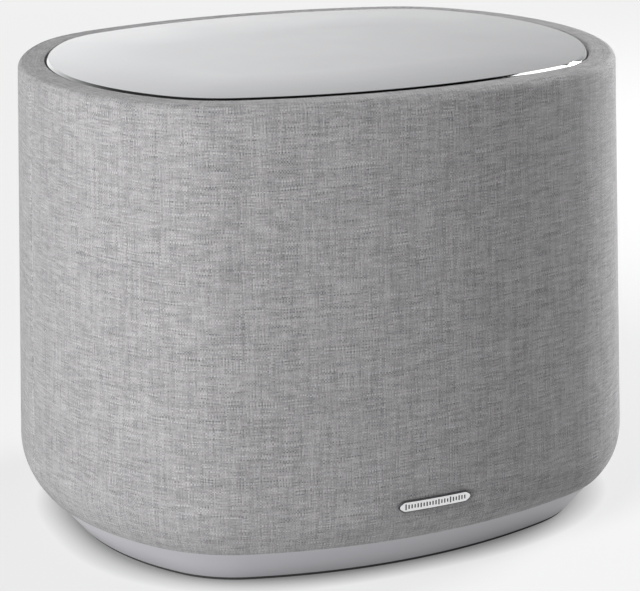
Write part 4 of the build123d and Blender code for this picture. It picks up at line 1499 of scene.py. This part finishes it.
            Bench.drop_faces(part, gap)
            Bench.close_openings(part)
            parts.append(part)
        if stroke:
            Bench.clear()
            middle = (x * MM, face - 0.05 * MM, (self.button_z + 2.0) * MM)
            bpy.ops.mesh.primitive_cube_add(size=1.0, location=middle)
            part = Bench.named("stroke")
            bpy.ops.transform.resize(value=(0.4 * MM, 0.25 * MM, 2.2 * MM))
            bpy.ops.object.transform_apply(location=True, rotation=False, scale=True)
            Bench.modify(part, "BEVEL", width=0.1 * MM, segments=2)
            parts.append(part)
        piece = Bench.joined(name, parts)
        Bench.smooth(piece, 40.0)
        self.fitter.fit(piece, "symbol_paint", body, slot="black_plastic")


# ---- the cone's suspension -----------------------------------------------------------------------


@dataclass
class Suspension:
    """The soft parts that hold the cone.

    Attributes:
        fitter: Dresses and fixes the pieces.
        coil_radius: Radius at which the spider holds the coil's former.
        folds: The spider's folds.
        fold_height: How high they are.
        fold_edge: Radius at which they end.
        spider_radius: Radius of the spider's rim.
        spider_z: Height of its underside.
        thickness: Thickness of the spider's cloth and of the surround.
        flange_z: Height of the basket's flange, which the surround lies under.
        roll_radius: Radius of the middle of the half roll.
        roll: Radius of the half roll itself.
        lips: Inner and outer radius of the surround.
        lead_x: How far each wire is from the middle.
        lead_radius: Its radius.
        lead_bend: Start, corner and end of its bend, as (y, z).
        lead_ends: Its upper and lower end.
        lead_sag: The place between them that it goes through.
    """

    fitter: Fitter
    coil_radius: float = 25.25
    folds: int = 8
    fold_height: float = 1.6
    fold_edge: float = 64.0
    spider_radius: float = 76.0
    spider_z: float = 103.0
    thickness: float = 0.8
    flange_z: float = 59.0
    roll_radius: float = 95.0
    roll: float = 9.0
    lips: Point2 = (80.0, 112.0)
    lead_x: float = 8.0
    lead_radius: float = 0.8
    lead_bend: tuple[Point2, Point2, Point2] = ((91.2, 94.3), (91.2, 91.0), (87.97, 90.33))
    lead_ends: tuple[Point2, Point2] = ((91.2, 99.9), (50.5, 83.4))
    lead_sag: Point2 = (72.0, 87.0)

    def make(self) -> None:
        """Makes the spider, the surround and the leads."""
        self.spider()
        self.surround()
        self.leads()

    def ring(self, name: str, section: Sequence[Point2], outside: float) -> bpy.types.Object:
        """A round piece, from (radius, height) points."""
        outline = Outline.rounded_bar(2 * outside, 2 * outside, outside)
        piece = Bench.carry(name, [(outside - r, z) for r, z in section], outline, 3.0)
        Bench.smooth(piece, 40.0)
        return piece

    @staticmethod
    def radius(points: np.ndarray) -> np.ndarray:
        """Distance of each point from the upright axis."""
        return np.hypot(points[:, 0], points[:, 1])

    def spider(self) -> None:
        """The cloth disc, in round folds."""
        count = 6 * self.folds
        line = np.linspace(self.coil_radius, self.fold_edge, count + 1)
        wave = self.fold_height / 2 * (1 - np.cos(np.linspace(0, 2 * np.pi * self.folds, count + 1)))
        under = [(float(r), self.spider_z + float(z)) for r, z in zip(line, wave)]
        under.append((self.spider_radius, self.spider_z))
        over = [(r, z + self.thickness) for r, z in reversed(under)]
        piece = self.ring("cone_spider", under + over, self.spider_radius)
        Bench.hold(piece)
        bpy.ops.object.mode_set(mode="EDIT")
        bpy.ops.mesh.select_all(action="SELECT")
        bpy.ops.uv.cube_project(cube_size=1.0)
        bpy.ops.object.mode_set(mode="OBJECT")
        still, moving = self.fold_edge - 2, self.coil_radius + 3
        self.fitter.bridge(piece, "spider_cloth", ["spider"], self.radius, still, moving)

    def surround(self) -> None:
        """The rubber half roll, with a flat lip on each side."""
        low, high = self.flange_z - self.thickness, self.flange_z
        middle = (low + high) / 2
        turn = np.linspace(math.pi, 2 * math.pi, 25)
        outer = [(self.roll_radius + self.roll * math.cos(a), middle + self.roll * math.sin(a)) for a in turn]
        slim = self.roll - self.thickness
        inner = [(self.roll_radius + slim * math.cos(a), middle + slim * math.sin(a)) for a in turn]
        near, far = self.lips
        section = [(near, high), (near, low), (outer[0][0], low), *outer[1:-1], (outer[-1][0], low)]
        section += [(far, low), (far, high), (inner[-1][0], high), *inner[-2:0:-1], (inner[0][0], high)]
        piece = self.ring("cone_surround", section, far)
        still, moving = self.roll_radius + self.roll, self.roll_radius - self.roll
        self.fitter.bridge(piece, "dark_rubber", ["surround"], self.radius, still, moving)

    def leads(self) -> None:
        """Two wires, each a slack run from the basket's strip down to the cone."""
        start, bend, end = (np.array(p) for p in self.lead_bend)
        share = np.linspace(0, 1, 9)[:, None]
        curve = start * (1 - share) ** 2 + bend * 2 * share * (1 - share) + end * share**2
        rough = np.vstack([self.lead_ends[0], curve, self.lead_sag, self.lead_ends[1]])
        reach = np.concatenate([[0.0], np.cumsum(np.hypot(*np.diff(rough, axis=0).T))])
        even = np.linspace(0, reach[-1], 56)
        line = np.stack([np.interp(even, reach, rough[:, i]) for i in (0, 1)], axis=1)
        way = np.gradient(line, axis=0)
        way /= np.linalg.norm(way, axis=1)[:, None]
        around = np.linspace(0, 2 * np.pi, 13)
        parts = []
        for x in (-self.lead_x, self.lead_x):
            places = np.zeros((len(line), len(around), 3))
            places[:, :, 0] = x + self.lead_radius * np.cos(around)
            places[:, :, 1] = line[:, :1] - self.lead_radius * np.sin(around) * way[:, 1:]
            places[:, :, 2] = line[:, 1:] + self.lead_radius * np.sin(around) * way[:, :1]
            part = Bench.cut_cloth("lead", places * MM, even * MM, around * self.lead_radius * MM)
            Bench.hold(part)
            bpy.ops.object.mode_set(mode="EDIT")
            bpy.ops.mesh.select_all(action="SELECT")
            bpy.ops.mesh.remove_doubles(threshold=WELD)
            bpy.ops.object.mode_set(mode="OBJECT")
            Bench.close_openings(part)
            Bench.turn_out(part)
            parts.append(part)
        piece = Bench.joined("cone_leads", parts)
        Bench.smooth(piece, 50.0)
        still, moving = self.spider_radius + 10, self.lead_ends[1][0] + 6
        self.fitter.bridge(piece, "contact_brass", ["tinsel_leads"], lambda p: p[:, 1], still, moving)


# ---- everything inside, and what keeps its own shape ---------------------------------------------


@dataclass
class Inside:
    """Finishes for the frame's own nodes."""

    palette: Palette
    finishes: dict[str, str] = field(default_factory=lambda: {
        "plate_adhesive": "matt_gasket", "top_frame": "black_plastic", "top_screws": "zinc_steel",
        "grille_front": "black_plastic", "grille_rear": "black_plastic", "badge_nuts": "zinc_steel",
        "base_plate": "black_plastic", "skirt_screws": "black_steel", "support_pillars": "black_plastic",
        "pillar_screws": "zinc_steel", "enclosure_tub": "black_plastic", "lid_gasket": "matt_gasket",
        "enclosure_lid": "black_plastic", "lid_screws": "zinc_steel", "braces": "black_plastic",
        "damping_pads": "wadding", "driver_basket": "cast_basket", "driver_gasket": "matt_gasket",
        "driver_screws": "black_steel", "terminal_strip": "cone_paper", "cone": "cone_paper",
        "dust_cap": "cone_paper",
        "coil_former": "contact_brass", "voice_coil": "coil_copper", "front_pole_plate": "zinc_steel",
        "magnet_ring": "ferrite", "back_pole_plate": "zinc_steel", "amplifier_board": "circuit_board",
        "power_board": "circuit_board", "wireless_module": "circuit_board", "heat_sink": "heat_sink_metal",
        "inductors": "winding", "capacitors": "black_plastic", "transformer": "winding",
        "board_standoffs": "zinc_steel", "board_screws": "zinc_steel", "lead_grommets": "dark_rubber",
        "mains_lead": "lead_jacket", "driver_lead": "lead_jacket", "connection_panel": "black_plastic",
        "panel_gasket": "matt_gasket", "panel_screws": "black_steel", "mains_inlet": "black_plastic",
        "inlet_pins": "contact_brass", "service_port": "zinc_steel", "status_lens": "lens_clear",
        "button_board": "circuit_board",
    })

    def make(self, nodes: dict[str, bpy.types.Object]) -> None:
        """Dresses the nodes.

        Args:
            nodes: The frame's nodes by name.
        """
        for name, finish in self.finishes.items():
            node = nodes[name]
            material = self.palette.get(finish)
            if node.material_slots:
                for place in node.material_slots:
                    place.material = material
            else:
                node.data.materials.append(material)
            LOG.info("%s: %s", name, finish)


# ---- studio --------------------------------------------------------------------------------------


@dataclass
class Lamp:
    """A soft light: where it stands, what it faces, its size and its power."""

    name: str
    place: Point3
    target: Point3
    size: Point2
    power: float


@dataclass
class Studio:
    """The pale floor, the lights and the camera.

    Attributes:
        eye: Where the camera is.
        target: What it looks at.
        roll: How far it is turned about its own axis, in degrees.
        lens: Its focal length, in millimetres.
        lamps: The soft lights.
        floor_light: The floor's own light near the object.
        far_light: The floor's own light far away.
        glow_reach: Distances between which the one turns into the other.
        painted_shadow_size: Half width and half depth of the painted contact shadow under the object, a patch
            where the floor's own light is turned down.
        painted_shadow_share: Share of the floor's light left inside that painted shadow.
        horizon: Strength of the backdrop at the horizon.
        zenith: Its strength overhead.
        front_share: Share of it that is left in front of the object.
        left_share: Share of it at the left.
        right_share: Share of it at the right.
    """

    eye: Point3 = (-0.4620, -1.0424, 0.4613)
    target: Point3 = (0.0, 0.0, 0.1146)
    roll: float = -0.592
    lens: float = 119.84
    lamps: tuple[Lamp, ...] = (
        Lamp("key_left", (-1.20, -0.78, 1.62), (0.0, 0.0, 0.14), (0.9, 0.9), 44.0),
        Lamp("low_left", (-1.45, -0.62, 0.12), (0.0, 0.0, 0.04), (0.9, 0.20), 20.0),
        Lamp("rim_right", (1.42, 0.26, 0.54), (0.05, 0.0, 0.16), (0.5, 0.86), 44.0),
        Lamp("edge_card", (1.20, -0.02, 1.10), (0.1, -0.05, 0.25), (0.4, 0.55), 2.5),
    )
    floor_light: float = 0.66
    far_light: float = 0.82
    glow_reach: Point2 = (0.45, 1.9)
    painted_shadow_size: Point2 = (0.1445, 0.1165)
    painted_shadow_share: float = 0.3
    horizon: float = 1.22
    zenith: float = 0.05
    front_share: float = 0.02
    left_share: float = 1.1
    right_share: float = 0.5

    def make(self) -> None:
        """Sets up everything round the object."""
        bpy.context.scene.view_settings.view_transform = "Standard"
        self.floor()
        self.sky()
        for lamp in self.lamps:
            self.light(lamp)
        self.camera()

    def floor(self) -> None:
        """A wide pale floor, partly lit from within so that it stays even, with a painted contact shadow: its
        own light is turned down in a soft patch round the object's outline.
        """
        Bench.clear()
        bpy.ops.mesh.primitive_circle_add(
            vertices=96, radius=6.0, fill_type="NGON", location=(0, 0, -0.0003))
        floor = Bench.named("floor")
        tree = Tree("floor_paper")
        tree.feed(tree.shader.inputs["Base Color"], (0.16, 0.16, 0.162, 1.0))
        tree.feed(tree.shader.inputs["Roughness"], tree.ramp(tree.noise(tree.place(), 40.0), 0.85, 0.95))
        tree.shader.inputs["Specular IOR Level"].default_value = 0.0
        x, y, _ = tree.split(tree.place())
        squares = tree.math("ADD", tree.math("MULTIPLY", x, x), tree.math("MULTIPLY", y, y))
        tree.shader.inputs["Emission Color"].default_value = (1.0, 1.0, 1.0, 1.0)
        reach = tree.math("SQRT", squares)
        glow = tree.ramp(reach, self.floor_light, self.far_light, *self.glow_reach)
        # painted contact shadow: inside the object's outline the floor's own light falls to a share, and it
        # comes back within a couple of centimetres outside it
        beside, ahead = (
            tree.math("POWER", tree.math("DIVIDE", tree.math("ABSOLUTE", way), half), 2.5)
            for way, half in zip((x, y), self.painted_shadow_size)
        )
        near = tree.math("POWER", tree.math("ADD", beside, ahead), 0.4)
        glow = tree.math("MULTIPLY", glow, tree.ramp(near, self.painted_shadow_share, 1.0, 0.985, 1.12))
        tree.feed(tree.shader.inputs["Emission Strength"], glow)
        floor.data.materials.append(tree.material)

    def sky(self) -> None:
        """A backdrop that is bright at the horizon and dark overhead."""
        world = bpy.data.worlds.new("studio")
        bpy.context.scene.world = world
        world.use_nodes = True
        nodes, links = world.node_tree.nodes, world.node_tree.links
        background = nodes["Background"]
        coordinate = nodes.new("ShaderNodeTexCoord")
        part = nodes.new("ShaderNodeSeparateXYZ")
        links.new(coordinate.outputs["Generated"], part.inputs[0])
        strength = None
        for axis, kind, (start, end), (low, high) in (
            (2, "SMOOTHSTEP", (0.05, 0.70), (self.horizon, self.zenith)),
            (1, "LINEAR", (-0.5, 0.6), (self.front_share, 1.0)),
            (0, "LINEAR", (0.22, 0.55), (self.left_share, self.right_share)),
        ):
            spread = nodes.new("ShaderNodeMapRange")
            spread.interpolation_type = kind
            links.new(part.outputs[axis], spread.inputs["Value"])
            ends = {"From Min": start, "From Max": end, "To Min": low, "To Max": high}
            for name, value in ends.items():
                spread.inputs[name].default_value = value
            if strength is None:
                strength = spread.outputs["Result"]
                continue
            product = nodes.new("ShaderNodeMath")
            product.operation = "MULTIPLY"
            links.new(strength, product.inputs[0])
            links.new(spread.outputs["Result"], product.inputs[1])
            strength = product.outputs[0]
        background.inputs["Color"].default_value = (1.0, 1.0, 1.0, 1.0)
        links.new(strength, background.inputs["Strength"])

    def light(self, lamp: Lamp) -> None:
        """Sets one soft light."""
        data = bpy.data.lights.new(lamp.name, "AREA")
        data.shape = "RECTANGLE"
        data.size, data.size_y = lamp.size
        data.energy = lamp.power
        piece = bpy.data.objects.new(lamp.name, data)
        bpy.context.collection.objects.link(piece)
        piece.location = lamp.place
        aim = Vector(lamp.target) - Vector(lamp.place)
        piece.rotation_euler = aim.to_track_quat("-Z", "Y").to_euler()

    def camera(self) -> None:
        """Sets the camera."""
        data = bpy.data.cameras.new("camera")
        data.lens = self.lens
        data.sensor_width = 36.0
        data.sensor_fit = "HORIZONTAL"
        data.clip_start, data.clip_end = 0.05, 50.0
        piece = bpy.data.objects.new("camera", data)
        bpy.context.collection.objects.link(piece)
        forward = (Vector(self.target) - Vector(self.eye)).normalized()
        right = forward.cross(Vector((0, 0, 1))).normalized()
        up = right.cross(forward)
        turn = math.radians(self.roll)
        side = right * math.cos(turn) + up * math.sin(turn)
        top = up * math.cos(turn) - right * math.sin(turn)
        axes = Matrix((side, top, -forward)).transposed().to_4x4()
        piece.matrix_world = Matrix.Translation(Vector(self.eye)) @ axes
        bpy.context.scene.camera = piece


def main() -> None:
    """Builds the speaker's looks, piece by piece."""
    logging.basicConfig(level=logging.INFO, format="%(name)s: %(message)s")
    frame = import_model()
    palette = Palette()
    fitter = Fitter(palette)
    Studio().make()
    ClothCover(fitter).make()
    TopPlate(fitter).make()
    Base(fitter).make()
    Badge(fitter).make()
    RearPanel(fitter).make()
    Suspension(fitter).make()
    Inside(palette).make(frame["nodes"])
    Bench.clear()


if __name__ == "__main__":
    main()
